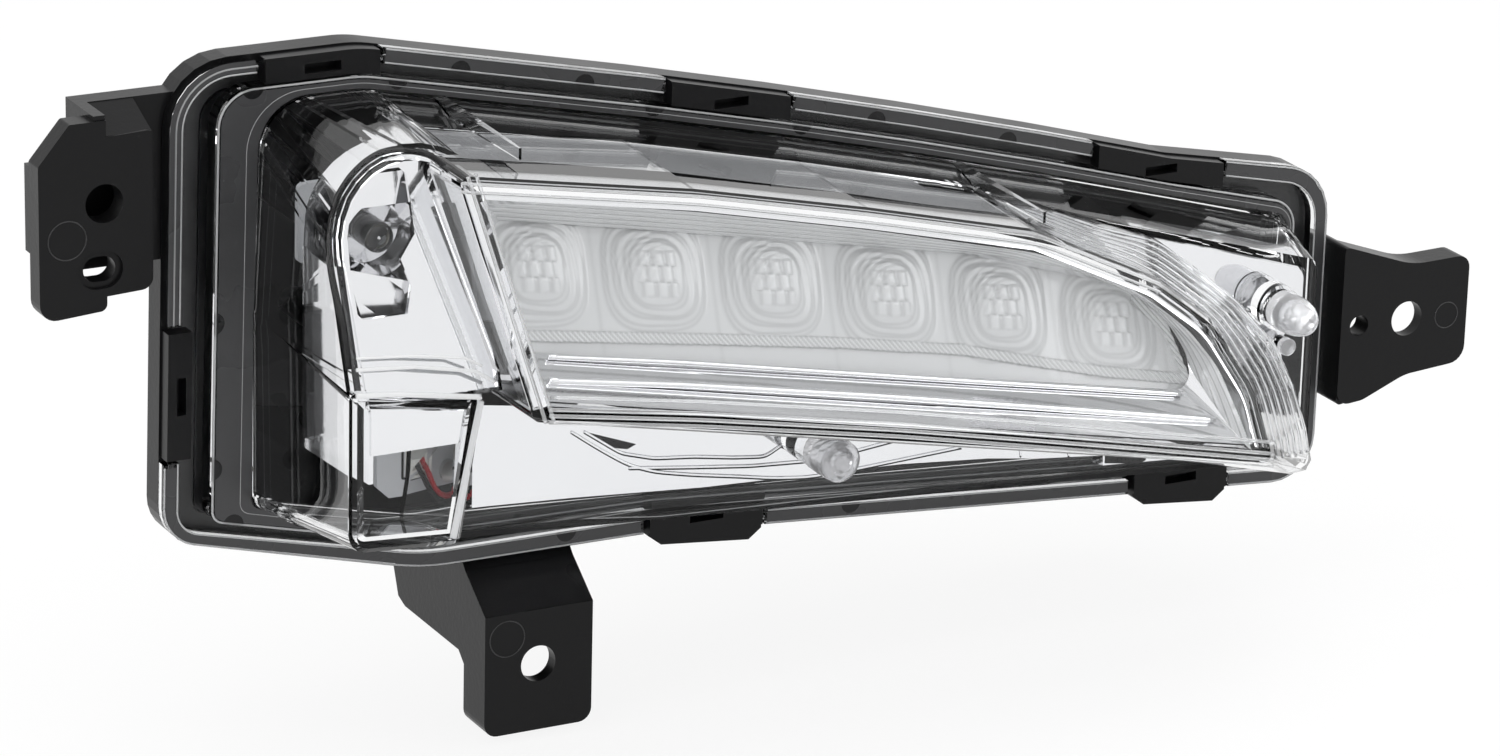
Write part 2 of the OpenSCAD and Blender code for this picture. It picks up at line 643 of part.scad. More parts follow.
// Frosted panel with nested square cells and a ribbed lower edge
cell_start = 8.2;
function cell_u(i) = cell_start + i * cell_pitch;
panel_pts = [[cell_u(-0.133), 15.5, 2], [cell_u(2.363), 5, 0], [cell_u(4.881), -12, 0],
    [cell_u(5.733), -18.5, 6], [cell_u(5.696), -6, 12], [cell_u(5.252), 7.5, 14],
    [cell_u(3.77), 20.5, 0], [cell_u(-0.356), 44.5, 3]];
function cell_w_at(i) = 32.2 - 4.8 * i - 0.33 * i * i;
module square_at(u, w, size, r, v0, v1) {
    h = size / 2;
    slab(v0, v1, rounded([[u - h, w - h, r], [u + h, w - h, r], [u + h, w + h, r], [u - h, w + h, r]]));
}
module optic_panel() {
    color([0.93, 0.93, 0.94, 0.9]) on_window(panel_depth) difference() {
        union() {
            slab(0, panel_t, rounded(panel_pts));
            intersection() {
                slab(-3, 1, rounded(inset(panel_pts, 1.4)));
                for (i = [0 : cells - 1]) {
                    square_at(cell_u(i), cell_w_at(i), cell_w * 0.86, 6.5, -0.7, 0.1);
                    square_at(cell_u(i), cell_w_at(i), cell_w * 0.62, 5, -1.4, 0);
                }
            }
        }
        for (i = [0 : cells - 1]) square_at(cell_u(i), cell_w_at(i), cell_w * 0.4, 3.4, -2, 0.4);
    }
}

// Clear collimator behind each cell, joined by a bar
bar_v = panel_depth + panel_t + 0.3;
cone_len = 9;
module collimator_bar() {
    color([0.9, 0.93, 0.95, 0.5]) on_window(bar_v) {
        for (i = [0 : cells - 1]) translate([cell_u(i), 0, cell_w_at(i)]) rotate([-90, 0, 0])
            cylinder(h = cone_len, d1 = cell_w * 0.72, d2 = 6.4, $fn = 32);
        slab(0, 1.6, rounded(inset(panel_pts, 2.2)));
    }
}

// Diode strip: board, six packages, heat sink and screws
led_h = 0.9;
led_s = 3;
board_v = bar_v + cone_len + 0.25 + led_h;
board_edge = 8;
board_pts = [[cell_u(0) - board_edge / 2, cell_w_at(0) - board_edge - 1, 1],
    [cell_u(cells - 1) - board_edge * 1.5, cell_w_at(cells - 1) - board_edge, 1],
    [cell_u(cells - 1) + board_edge, cell_w_at(cells - 1) - board_edge, 1],
    [cell_u(cells - 1) + board_edge, cell_w_at(cells - 1) + board_edge, 1],
    [cell_u(0) + board_edge, cell_w_at(0) + board_edge, 1],
    [cell_u(0) - board_edge / 2, cell_w_at(0) + board_edge, 1]];
screw_spots = [for (i = [0, 2, 4]) [cell_u(i) + cell_pitch / 2, (cell_w_at(i) + cell_w_at(i + 1)) / 2]];
screw_d = 2.4;
module led_board() {
    color("white") on_window(board_v) difference() {
        slab(0, board_t, rounded(board_pts));
        for (s = screw_spots) rod(s[0], s[1], -1, board_t + 1, screw_d + 0.4, 24);
    }
}
module led(i) {
    color([0.95, 0.93, 0.7]) on_window(board_v - led_h - 0.02)
        translate([cell_u(i) - led_s / 2, 0, cell_w_at(i) - led_s / 2]) difference() {
            cube([led_s, led_h, led_s]);
            translate([led_s / 2, -eps, led_s / 2]) rotate([-90, 0, 0]) cylinder(h = 0.3, d = led_s * 0.75, $fn = 24);
        }
}
sink_base = 2.4;
fin_h = 14;
module heat_sink() {
    color("silver") on_window(board_v + board_t + 0.02) difference() {
        union() {
            slab(0, sink_base, rounded(board_pts));
            for (k = [0 : fins - 1]) let(u = cell_u(0) - 3 + k * (cell_pitch * (cells - 1) + 5) / (fins - 1),
                w = cell_w_at((u - cell_u(0)) / cell_pitch))
                translate([u, sink_base - eps, w - 6.5]) cube([1.6, fin_h, 13]);
        }
        for (s = screw_spots) rod(s[0], s[1], -1, sink_base + 1, screw_d, 24);
    }
}
module pan_screw(len) {
    rotate([-90, 0, 0]) union() {
        translate([0, 0, -1.4]) cylinder(h = 1.4, d = screw_d * 1.9, $fn = 32);
        cylinder(h = len, d = screw_d - 0.1, $fn = 24);
    }
}
module board_screws() {
    color("silver") on_window(board_v - 0.02) for (s = screw_spots)
        translate([s[0], 0, s[1]]) pan_screw(board_t + sink_base + 1);
}

// Side window: mirror cup, clear post, board and diode
cup_x = 49.6;
cup_z = -7.4;
cup_front = -24;
cup_back = -8;
// Flange round the cup's mouth, which closes the opening in the mirror frame
cup_plate = [[38, -17.5], [39.5, -20], [51, -20], [53.5, -14], [54, -4], [54, 7.4],
    [46, 7.4], [42, 4.8], [39.8, 1.6], [38.2, -3]];
module side_reflector() {
    color([0.88, 0.88, 0.9]) union() {
        translate([cup_x, cup_back, cup_z]) rotate([90, 0, 0]) difference() {
            rotate_extrude($fn = 48) polygon([[3.4, -led_h], [5, -led_h], [5, 0], [8.6, 5], [10, 10],
                [10.8, 16], [9.9, 16], [9, 10.4], [7.2, 5.6], [3.4, 1.2]]);
            translate([-20, 8.5, -1]) cube([40, 20, 30]);
            translate([8.4, -20, -1]) cube([20, 40, 30]);
        }
        difference() {
            slab(cup_front - 0.4, cup_front + 0.6, cup_plate);
            intersection() {
                rod(cup_x, cup_z, cup_front - 2, cup_front + 2, 19.4);
                translate([cup_x - 20, cup_front - 3, cup_z - 20]) cube([28, 6, 28]);
            }
        }
    }
}
module side_light_guide() {
    color([0.9, 0.93, 0.95, 0.5]) translate([cup_x, cup_back, cup_z]) rotate([90, 0, 0])
        rotate_extrude($fn = 40) polygon([[0, 0.4], [3.1, 0.4], [3.1, 1], [2.8, 10], [2.2, 12.2], [0, 13]]);
}
module side_led_board() {
    color("white") slab(cup_back + led_h + 0.1, cup_back + led_h + 0.1 + board_t,
        rounded([[cup_x - 10, cup_z - 8, 1], [cup_x + 9, cup_z - 8, 1], [cup_x + 9, cup_z + 8, 1], [cup_x - 10, cup_z + 8, 1]]));
}
module side_led() {
    color([0.95, 0.93, 0.7]) translate([cup_x - led_s / 2, cup_back + 0.08, cup_z - led_s / 2])
        cube([led_s, led_h, led_s]);
}

// Driver board in the lower left box, with socket, plug and two leads
driver_y = 2;
driver_pts = [[59.5, -69.2, 0], [62.2, -71.8, 0], [83, -71.8, 1], [83, -40, 1], [59.2, -40, 1]];
plug_x = 68.9;
plug_z = -64.1;
plug_w = 6;
plug_h = 4.4;
module driver_board() {
    color([0.9, 0.91, 0.92]) difference() {
        slab(driver_y, driver_y + board_t, rounded(driver_pts));
        for (p = driver_posts) rod(p[0], p[1], driver_y - 1, driver_y + board_t + 1, screw_d + 0.4, 24);
    }
}
module driver_screws() {
    color("silver") for (p = driver_posts) translate([p[0], driver_y - 0.02, p[1]]) pan_screw(board_t + 6);
}
module board_socket() {
    color([0.93, 0.93, 0.9]) difference() {
        translate([plug_x - plug_w / 2, driver_y - 5.5, plug_z - plug_h / 2]) cube([plug_w, 5.5 - 0.02, plug_h]);
        translate([plug_x - plug_w / 2 + 0.8, driver_y - 6.5, plug_z - plug_h / 2 + 0.7])
            cube([plug_w - 1.6, 5, plug_h - 1.4]);
    }
}
module socket_plug() {
    color([0.95, 0.95, 0.93]) difference() {
        translate([plug_x - plug_w / 2 + 0.9, driver_y - 5.2, plug_z - plug_h / 2 + 0.8])
            cube([plug_w - 1.8, 3.6, plug_h - 1.6]);
        for (s = [-1, 1]) rod(plug_x + s, plug_z, driver_y - 6, driver_y - 3.2, lead_d + 0.1, 24);
    }
}

// A lead follows its own points, with a ring of eight corners at each
function along(p, i) = unit(p[min(i + 1, len(p) - 1)] - p[max(i - 1, 0)]);
function side_of(t) = unit(cross(t, [0.1, 0.3, 1]));
module lead(p, d) {
    n = 8;
    pts = [for (i = [0 : len(p) - 1]) let(t = along(p, i), a = side_of(t), b = cross(t, a))
        for (k = [0 : n - 1]) p[i] + (a * cos(k * 360 / n) + b * sin(k * 360 / n)) * d / 2];
    faces = concat([[for (k = [n - 1 : -1 : 0]) k]],
        [for (i = [0 : len(p) - 2]) for (k = [0 : n - 1])
            [i * n + k, i * n + (k + 1) % n, (i + 1) * n + (k + 1) % n, (i + 1) * n + k]],
        [[for (k = [0 : n - 1]) (len(p) - 1) * n + k]]);
    polyhedron(points = pts, faces = [for (f = faces) [for (k = [len(f) - 1 : -1 : 0]) f[k]]]);
}
lead_start = driver_y - 3.4;
route_black = [[plug_x - 1, lead_start, plug_z], [plug_x - 1, driver_y - 5, plug_z + 0.1],
    [67.8, -4.5, -64.4], [68.6, -5, -65.5], [69.8, -5, -67.4], [71.4, -4.9, -69.6], [73.4, -4.8, -71.6],
    [76, -4.4, -73], [79, -3.6, -73.7], [82, -2.2, -73.8], [84.6, 0, -73.2], [86.4, 2.6, -71.6],
    [87.2, 5, -68.6], [87.4, 7, -64], [87.4, 8, -58]];
route_red = [[plug_x + 1, lead_start, plug_z], [plug_x + 1, driver_y - 4.8, plug_z + 0.1],
    [70.1, -4.1, -64.4], [70.7, -4.4, -65.6], [71.6, -4.4, -67.4], [72.9, -4.3, -69.4], [74.6, -4, -71],
    [76.8, -3.4, -72], [79.4, -2.4, -72.4], [82, -0.8, -72.2], [84, 1, -71.2], [85.2, 3, -69.4],
    [85.6, 5, -66.6], [85.6, 7, -62], [85.6, 8, -56]];
module wire_black() {
    color([0.08, 0.08, 0.08]) lead(route_black, lead_d);
}
module wire_red() {
    color([0.75, 0.1, 0.12]) lead(route_red, lead_d);
}

housing();
outer_lens();
sealing_bead();
bezel();
optic_panel();
collimator_bar();
led_board();
led(0);  // led_1
led(1);  // led_2
led(2);  // led_3
led(3);  // led_4
led(4);  // led_5
led(5);  // led_6
heat_sink();
side_reflector();
side_light_guide();
side_led_board();
side_led();
driver_board();
board_socket();
socket_plug();
wire_red();
wire_black();
contact_pins();
vent_cap();
board_screws();
driver_screws();
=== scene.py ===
"""Dresses the daytime running light in its studio: finishes, fine optics and trim."""

import json
import logging
import math
from dataclasses import dataclass, field
from enum import Enum
from typing import Sequence

import bpy
import numpy as np
from mathutils import Matrix, Vector


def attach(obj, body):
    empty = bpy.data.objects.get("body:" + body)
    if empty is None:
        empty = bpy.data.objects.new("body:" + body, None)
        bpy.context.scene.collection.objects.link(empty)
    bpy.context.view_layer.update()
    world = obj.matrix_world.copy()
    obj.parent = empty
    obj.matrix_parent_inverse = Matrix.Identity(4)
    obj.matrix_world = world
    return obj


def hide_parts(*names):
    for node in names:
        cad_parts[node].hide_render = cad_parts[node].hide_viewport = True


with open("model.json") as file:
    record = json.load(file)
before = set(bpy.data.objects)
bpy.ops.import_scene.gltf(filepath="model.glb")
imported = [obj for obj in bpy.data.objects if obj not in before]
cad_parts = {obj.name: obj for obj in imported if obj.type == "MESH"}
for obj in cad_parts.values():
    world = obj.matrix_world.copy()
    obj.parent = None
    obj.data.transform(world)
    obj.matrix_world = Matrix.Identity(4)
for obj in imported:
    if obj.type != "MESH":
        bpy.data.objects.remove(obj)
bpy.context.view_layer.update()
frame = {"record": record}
LOG = logging.getLogger("running_light")
MM = 0.001
SHADE = "shade"
WHITE = (1, 1, 1, 1)
FORWARD = np.array([0.0, -1.0, 0.0])
FINE = 90
Grid = np.ndarray
Mesh = tuple[Grid, list[list[int]]]
Triple = tuple[float, float, float]
Path = tuple[tuple[float, float], ...]
Path3 = tuple[Triple, ...]
Inset = tuple[float, float, float, float]


class Side(Enum):
    """The moulded edges of the rim that carry half-round marks."""

    STRIP = "strip"
    LEDGE = "ledge"


# Finishes


class Wiring:
    """Adds and joins the shader nodes of one material or world."""

    def __init__(self, owner: bpy.types.Material | bpy.types.World) -> None:
        """Opens the owner's node tree."""
        owner.use_nodes = True
        self.tree = owner.node_tree

    def add(self, kind: str, inputs: dict[str | int, object], **choices: str) -> bpy.types.Node:
        """Adds a node.

        Args:
            kind: The node's type, without the prefix that all share.
            inputs: For each input its value, or the socket that feeds it.
            choices: The node's own settings, made before its inputs.

        Returns:
            The node.
        """
        node = self.tree.nodes.new("ShaderNode" + kind)
        for name, choice in choices.items():
            setattr(node, name, choice)
        self.feed(node, inputs)
        return node

    def feed(self, node: bpy.types.Node, inputs: dict[str | int, object]) -> None:
        """Sets or joins the inputs of a node.

        Args:
            node: The node.
            inputs: For each input its value, or the socket that feeds it.
        """
        for name, given in inputs.items():
            if isinstance(given, bpy.types.NodeSocket):
                self.tree.links.new(given, node.inputs[name])
            else:
                node.inputs[name].default_value = given


@dataclass(frozen=True)
class Finish:
    """A moulded or metal finish with a fine grain in colour, gloss and bump."""

    name: str
    colour: Triple
    rough: float = 0.4
    metal: float = 0.0
    grain: float = 900.0
    grain_detail: float = 4.0
    grain_depth: float = 0.02
    grain_height: float = 0.0001
    cloud: float = 38.0
    cloud_detail: float = 3.0
    tint: float = 0.12
    rough_spread: float = 0.08
    coat: float = 0.0
    coat_rough: float = 0.06
    shine: float = 0.5
    shade: str = ""

    def build(self) -> bpy.types.Material:
        """Makes the node material.

        Returns:
            The material, with its pattern on Object coordinates.
        """
        mat = bpy.data.materials.new(self.name)
        mat.diffuse_color = (*self.colour, 1.0)
        wiring = Wiring(mat)
        spot = wiring.add("TexCoord", {}).outputs["Object"]
        noise = wiring.add("TexNoise", {"Scale": self.grain, "Detail": self.grain_detail,
                                        "Vector": spot})
        cloud = wiring.add("TexNoise", {"Scale": self.cloud, "Detail": self.cloud_detail,
                                        "Vector": spot}).outputs["Fac"]
        ramp = wiring.add("ValToRGB", {"Fac": cloud})
        for stop, share in zip(ramp.color_ramp.elements, (1 - self.tint, 1 + self.tint)):
            stop.color = (*(min(1.0, c * share) for c in self.colour), 1)
        tint = ramp.outputs["Color"]
        # Multiplies in the painted shade kept in the piece's colour attribute.
        if self.shade:
            lines = wiring.add("Attribute", {}, attribute_name=self.shade)
            tint = wiring.add("Mix", {"Factor": 1.0, "A": tint, "B": lines.outputs["Color"]},
                              data_type="RGBA", blend_type="MULTIPLY").outputs["Result"]
        gloss = wiring.add("MapRange", {"Value": cloud,
                                        "To Min": max(0.0, self.rough - self.rough_spread),
                                        "To Max": self.rough + self.rough_spread})
        bump = wiring.add("Bump", {"Strength": self.grain_depth * 10,
                                   "Distance": self.grain_height, "Height": noise.outputs["Fac"]})
        wiring.feed(wiring.tree.nodes["Principled BSDF"], {
            "Base Color": tint, "Roughness": gloss.outputs["Result"],
            "Normal": bump.outputs["Normal"], "Metallic": self.metal, "Coat Weight": self.coat,
            "Coat Roughness": self.coat_rough, "Specular IOR Level": self.shine})
        return mat


@dataclass(frozen=True)
class ClearFinish:
    """Clear moulding that bends light at its edges and lets the lamps through."""

    name: str
    colour: Triple = (0.98, 0.985, 0.99)
    rough: float = 0.0
    rough_spread: float = 0.012
    haze: float = 60.0
    ior: float = 1.42
    mirror: float = 0.35
    milk: float = 0.0
    pass_through: float = 0.9
    viewport_alpha: float = 0.3

    def build(self) -> bpy.types.Material:
        """Makes the node material.

        Returns:
            A transmissive material that casts a thin shadow only.
        """
        mat = bpy.data.materials.new(self.name)
        mat.diffuse_color = (*self.colour, self.viewport_alpha)
        wiring = Wiring(mat)
        spot = wiring.add("TexCoord", {}).outputs["Object"]
        haze = wiring.add("TexNoise", {"Scale": self.haze, "Vector": spot})
        spread = wiring.add("MapRange", {"Value": haze.outputs["Fac"], "To Min": self.rough,
                                         "To Max": self.rough + self.rough_spread})
        bsdf = wiring.tree.nodes["Principled BSDF"]
        wiring.feed(bsdf, {
            "Base Color": (*self.colour, 1), "Transmission Weight": 1.0 - self.milk,
            "Specular Tint": (self.mirror, self.mirror, self.mirror, 1), "IOR": self.ior,
            "Roughness": spread.outputs["Result"]})
        path = wiring.add("LightPath", {}).outputs
        either = wiring.add("Math", {0: path["Is Shadow Ray"], 1: path["Is Diffuse Ray"]},
                            operation="MAXIMUM")
        thin = (*(c * self.pass_through for c in self.colour), 1)
        clear = wiring.add("BsdfTransparent", {"Color": thin})
        mix = wiring.add("MixShader", {"Fac": either.outputs[0], 1: bsdf.outputs["BSDF"],
                                       2: clear.outputs["BSDF"]})
        wiring.feed(wiring.tree.nodes["Material Output"], {"Surface": mix.outputs["Shader"]})
        return mat


FINISHES: dict[str, Finish | ClearFinish] = {
    "black_shell": Finish("satin_black_shell", (0.0065, 0.0065, 0.007), rough=0.3,
                          grain_depth=0.035, shine=0.17),
    "clear_cover": ClearFinish("clear_cover"),
    "black_glue": Finish("cured_glue", (0.01, 0.01, 0.01), rough=0.5, grain=260.0,
                         grain_depth=0.05),
    "mirror_coat": Finish("mirror_coat", (0.85, 0.85, 0.86), rough=0.045, metal=1.0,
                          grain_depth=0.002, tint=0.02, rough_spread=0.02),
    "frosted_panel": Finish("frosted_panel", (0.84, 0.85, 0.86), rough=0.3, grain_depth=0.01,
                            tint=0.03, coat=0.5),
    "clear_optic": ClearFinish("clear_optic", rough=0.02),
    "fine_rib": ClearFinish("fine_rib", rough=0.02, milk=0.22),
    "soft_rib": ClearFinish("soft_rib", rough=0.02, milk=0.08),
    "frosted_pin": ClearFinish("frosted_pin", colour=(0.94, 0.94, 0.95), rough=0.08, ior=1.18,
                               mirror=0.8, milk=0.26),
    "guide_frost": ClearFinish("guide_frost", colour=(0.97, 0.97, 0.975), rough=0.04, ior=1.32,
                               mirror=1.0, milk=0.05),
    "pale_shelf": Finish("pale_shelf", (0.52, 0.525, 0.535), rough=0.22, grain_depth=0.004,
                         tint=0.05, coat=0.4),
    "smoky_face": Finish("smoky_face", (0.05, 0.05, 0.052), rough=0.28, grain_depth=0.03,
                         shine=0.4),
    # Pure black that paints shade, for the sheets in the lower right corner and on the frame's top
    # wall.
    "painted_shade_black": Finish("painted_shade_black", (0.003, 0.003, 0.003), rough=0.85, grain_depth=0.004,
                         shine=0.0),
    "facet_silver": Finish("facet_silver", (0.86, 0.86, 0.87), rough=0.12, metal=1.0,
                           grain_depth=0.002, tint=0.03),
    # Milky white that paints the highlights on the flange's clear edges.
    "edge_highlight_bead": ClearFinish("edge_highlight_bead", rough=0.01, milk=0.3, mirror=1.0),
    # Milky white that paints the highlights on the cover's wall edges.
    "wall_edge_highlight": ClearFinish("wall_edge_highlight", colour=(0.93, 0.935, 0.94), rough=0.03, milk=0.7,
                             mirror=1.0),
    "dark_line": Finish("dark_line", (0.004, 0.004, 0.0045), rough=0.2, grain_depth=0.004,
                        shine=0.3),
    "ear_mark": Finish("ear_mark", (0.02, 0.02, 0.021), rough=0.3, grain_depth=0.01),
    "cell_optic": Finish("cell_optic", (0.86, 0.865, 0.865), rough=0.16, grain_depth=0.004,
                         tint=0.03, coat=0.8, shade=SHADE),
    "white_board": Finish("white_board", (0.6, 0.61, 0.63), rough=0.32, tint=0.03),
    "diode": Finish("diode_package", (0.88, 0.84, 0.66), tint=0.05),
    "sink_metal": Finish("pressed_sheet", (0.62, 0.63, 0.64), rough=0.3, metal=1.0),
    "cream_plastic": Finish("cream_plastic", (0.9, 0.885, 0.83), tint=0.04),
    "red_sleeve": Finish("red_sleeve", (0.55, 0.008, 0.02), rough=0.42, tint=0.06, shine=0.25),
    "black_sleeve": Finish("black_sleeve", (0.003, 0.003, 0.003), rough=0.5, shine=0.08),
    "pin_metal": Finish("tinned_contact", (0.78, 0.75, 0.66), rough=0.25, metal=1.0),
    "vent_rubber": Finish("vent_rubber", (0.02, 0.02, 0.02), rough=0.6),
    "screw_steel": Finish("zinc_screw", (0.62, 0.62, 0.6), rough=0.3, metal=1.0),
}
NODE_SLOTS: dict[str, str] = {s["node"]: s["material_slot"] for s in frame["record"]["subparts"]}


class Wardrobe:
    """Holds one built material for each finish and dresses objects with them."""

    def __init__(self) -> None:
        """Builds nothing yet."""
        self.built: dict[str, bpy.types.Material] = {}

    def dress(self, obj: bpy.types.Object, slot: str) -> None:
        """Puts a finish on every material slot of an object.

        Args:
            obj: The object.
            slot: The finish, which is built on first use.
        """
        if slot not in self.built:
            self.built[slot] = FINISHES[slot].build()
        if not obj.material_slots:
            obj.data.materials.append(self.built[slot])
        for held in obj.material_slots:
            held.material = self.built[slot]

    def dress_nodes(self) -> None:
        """Dresses every CAD node with its record's slot."""
        for node, slot in NODE_SLOTS.items():
            self.dress(bpy.data.objects[node], slot)
        LOG.info("dressed %d nodes", len(NODE_SLOTS))


WARDROBE = Wardrobe()


# Studio


@dataclass
class Studio:
    """Pale floor, soft lamps, white surroundings and the camera."""

    floor_z: float = -0.131
    floor_size: float = 40.0
    floor_grey: float = 0.9
    shadow_share: float = 0.16
    floor_glow: float = 1.04
    sky: float = 0.62
    sensor: float = 36.0
    lens: float = 144.0
    clip: tuple[float, float] = (0.05, 200.0)
    place: Triple = (-0.41722, -1.04819, 0.36417)
    yaw: float = 28.2
    pitch: float = 19.5
    roll: float = 1.5
    lamps: list[tuple[str, Triple, float, float]] = field(default_factory=lambda: [
        ("top_softbox", (0.1, -0.25, 1.5), 1.3, 9.0),
        ("left_softbox", (-1.3, -0.5, 0.7), 1.0, 5.0),
        ("right_softbox", (1.4, -0.9, 0.5), 0.9, 4.0)])
    target: Triple = (0.15, 0.0, -0.04)

    @staticmethod
    def show(name: str, data: bpy.types.ID, pose: Matrix | None = None) -> bpy.types.Object:
        """Puts a studio object in the scene.

        Args:
            name: Its name.
            data: Its mesh, lamp or camera.
            pose: Its place and turn.

        Returns:
            The object.
        """
        obj = bpy.data.objects.new(name, data)
        if pose is not None:
            obj.matrix_world = pose
        bpy.context.scene.collection.objects.link(obj)
        return obj

    def camera(self) -> None:
        """Places the camera at the photograph's angle."""
        a, b, c = (math.radians(v) for v in (self.yaw, self.pitch, self.roll))
        right = np.array([math.cos(a), -math.sin(a), 0.0])
        ahead = np.array([math.sin(a) * math.cos(b), math.cos(a) * math.cos(b), -math.sin(b)])
        up = np.cross(right, ahead)
        turned = math.cos(c) * right + math.sin(c) * up
        lifted = -math.sin(c) * right + math.cos(c) * up
        basis = Matrix([[turned[i], lifted[i], -ahead[i]] for i in range(3)]).to_4x4()
        data = bpy.data.cameras.new("camera")
        data.lens, data.sensor_width = self.lens, self.sensor
        data.clip_start, data.clip_end = self.clip
        pose = Matrix.Translation(Vector(self.place)) @ basis
        bpy.context.scene.camera = self.show("camera", data, pose)

    def floor(self) -> None:
        """Lays the pale floor, which keeps a faint shadow."""
        s, z = self.floor_size, self.floor_z
        mesh = bpy.data.meshes.new("floor")
        mesh.from_pydata([(-s, -s, z), (s, -s, z), (s, s, z), (-s, s, z)], [], [(0, 1, 2, 3)])
        obj = self.show("floor", mesh)
        mat = bpy.data.materials.new("pale_floor")
        wiring = Wiring(mat)
        wiring.tree.nodes.clear()
        matt = wiring.add("BsdfDiffuse", {"Color": (*[self.floor_grey] * 3, 1)})
        glow = wiring.add("Emission", {"Color": WHITE, "Strength": self.floor_glow})
        keep = wiring.add("Math", {0: self.seen_rays(wiring), 1: 1 - self.shadow_share},
                          operation="MULTIPLY")
        mix = wiring.add("MixShader", {"Fac": keep.outputs[0], 1: matt.outputs["BSDF"],
                                       2: glow.outputs["Emission"]})
        wiring.add("OutputMaterial", {"Surface": mix.outputs["Shader"]})
        mesh.materials.append(mat)

    @staticmethod
    def seen_rays(wiring: Wiring) -> bpy.types.NodeSocket:
        """Joins the camera, glossy and transmission rays into one switch.

        Args:
            wiring: The node tree that gets the nodes.

        Returns:
            A socket that is 1 for those rays and 0 for others.
        """
        path = wiring.add("LightPath", {}).outputs
        first = wiring.add("Math", {0: path["Is Camera Ray"], 1: path["Is Glossy Ray"]},
                           operation="MAXIMUM")
        return wiring.add("Math", {0: first.outputs[0], 1: path["Is Transmission Ray"]},
                          operation="MAXIMUM").outputs[0]

    def surroundings(self) -> None:
        """Lights the object softly from all round and shows white behind it."""
        world = bpy.data.worlds.new("studio")
        bpy.context.scene.world = world
        wiring = Wiring(world)
        light = wiring.tree.nodes["Background"]
        wiring.feed(light, {"Color": WHITE, "Strength": self.sky})
        white = wiring.add("Background", {"Color": WHITE, "Strength": 1.0})
        mix = wiring.add("MixShader", {"Fac": self.seen_rays(wiring),
                                       1: light.outputs["Background"],
                                       2: white.outputs["Background"]})
        wiring.feed(wiring.tree.nodes["World Output"], {"Surface": mix.outputs["Shader"]})

    def build(self) -> None:
        """Sets up camera, floor, surroundings and lamps."""
        self.camera()
        self.floor()
        self.surroundings()
        for name, spot, size, power in self.lamps:
            data = bpy.data.lights.new(name, "AREA")
            data.shape, data.size, data.energy = "SQUARE", size, power
            aim = (Vector(self.target) - Vector(spot)).to_track_quat("-Z", "Y")
            self.show(name, data, Matrix.Translation(spot) @ aim.to_matrix().to_4x4())
        bpy.context.scene.view_settings.view_transform = "Standard"


# Mesh making


def put_mesh(name: str, mesh: Mesh, slot: str,
             smooth: bool = True) -> bpy.types.Object:
    """Makes one piece from points in millimetres.

    Args:
        name: The piece's name.
        mesh: Its corners in millimetres, and the corner numbers of each face.
        slot: The finish that the piece wears.
        smooth: Whether its faces are shaded as one surface.

    Returns:
        The new object, which rides on the root body.
    """
    points, faces = mesh
    data = bpy.data.meshes.new(name)
    data.from_pydata((np.asarray(points) * MM).tolist(), [], faces)
    if smooth:
        data.shade_smooth()
    obj = bpy.data.objects.new(name, data)
    bpy.context.scene.collection.objects.link(obj)
    WARDROBE.dress(obj, slot)
    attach(obj, "root")
    LOG.info("made %s with %d faces", name, len(data.polygons))
    return obj


def keep_shade(obj: bpy.types.Object, tone: Grid) -> None:
    """Stores a grey of painted shade for each corner, which the finish multiplies into its colour.

    Args:
        obj: The piece.
        tone: Grey of each corner, 1 where the colour stays.
    """
    layer = obj.data.color_attributes.new(SHADE, "FLOAT_COLOR", "POINT")
    layer.data.foreach_set("color", np.repeat(tone.reshape(-1), 4).astype(np.float32))


def strip_faces(rows: int, cols: int, loop: bool = False) -> list[list[int]]:
    """Numbers the quads of a grid of rows by cols corners.

    Args:
        rows: Corners along the first way.
        cols: Corners along the second way.
        loop: Whether the last column joins the first.

    Returns:
        The quads' corner numbers.
    """
    i, j = np.meshgrid(np.arange(rows - 1), np.arange(cols if loop else cols - 1), indexing="ij")
    k = (j + 1) % cols
    quads = np.stack([i * cols + j, (i + 1) * cols + j, (i + 1) * cols + k, i * cols + k], axis=-1)
    return quads.reshape(-1, 4).tolist()


def unit(v: Grid) -> Grid:
    """Scales each row to length one."""
    return v / np.maximum(np.linalg.norm(v, axis=-1, keepdims=True), 1e-9)


def resample(path: Grid, count: int) -> Grid:
    """Spreads points evenly along a path.

    Args:
        path: The path's corners, one row each.
        count: How many points to give back.

    Returns:
        The points, linearly placed by the distance run.
    """
    run = np.concatenate([[0.0], np.cumsum(np.linalg.norm(np.diff(path, axis=0), axis=1))])
    want = np.linspace(0, run[-1], count)
    return np.stack([np.interp(want, run, path[:, k]) for k in range(path.shape[1])], axis=1)


def soften(path: Grid, passes: int = 3) -> Grid:
    """Rounds a path's corners.

    Args:
        path: Points of the path.
        passes: How often each inner point moves to the mean of itself and its neighbours.

    Returns:
        The moved points.
    """
    out = path.copy()
    for _ in range(passes):
        out[1:-1] = 0.25 * out[:-2] + 0.5 * out[1:-1] + 0.25 * out[2:]
    return out


def curve(corners: Sequence[Sequence[float]], count: int, passes: int = 3) -> Grid:
    """Draws a rounded line through corners.

    Args:
        corners: The line's corners.
        count: Points on the line.
        passes: How often it is softened.

    Returns:
        The points.
    """
    return soften(resample(np.array(corners), count), passes)


def rule(first: Grid, second: Grid, shares: Grid) -> Grid:
    """Rules a grid between two paths: first * (1 - share) + second * share.

    Args:
        first: Points of the first path.
        second: Points of the second path.
        shares: Share of each column.

    Returns:
        A row for each point, with a column for each share.
    """
    t = shares[None, :, None]
    return first[:, None] * (1 - t) + second[:, None] * t


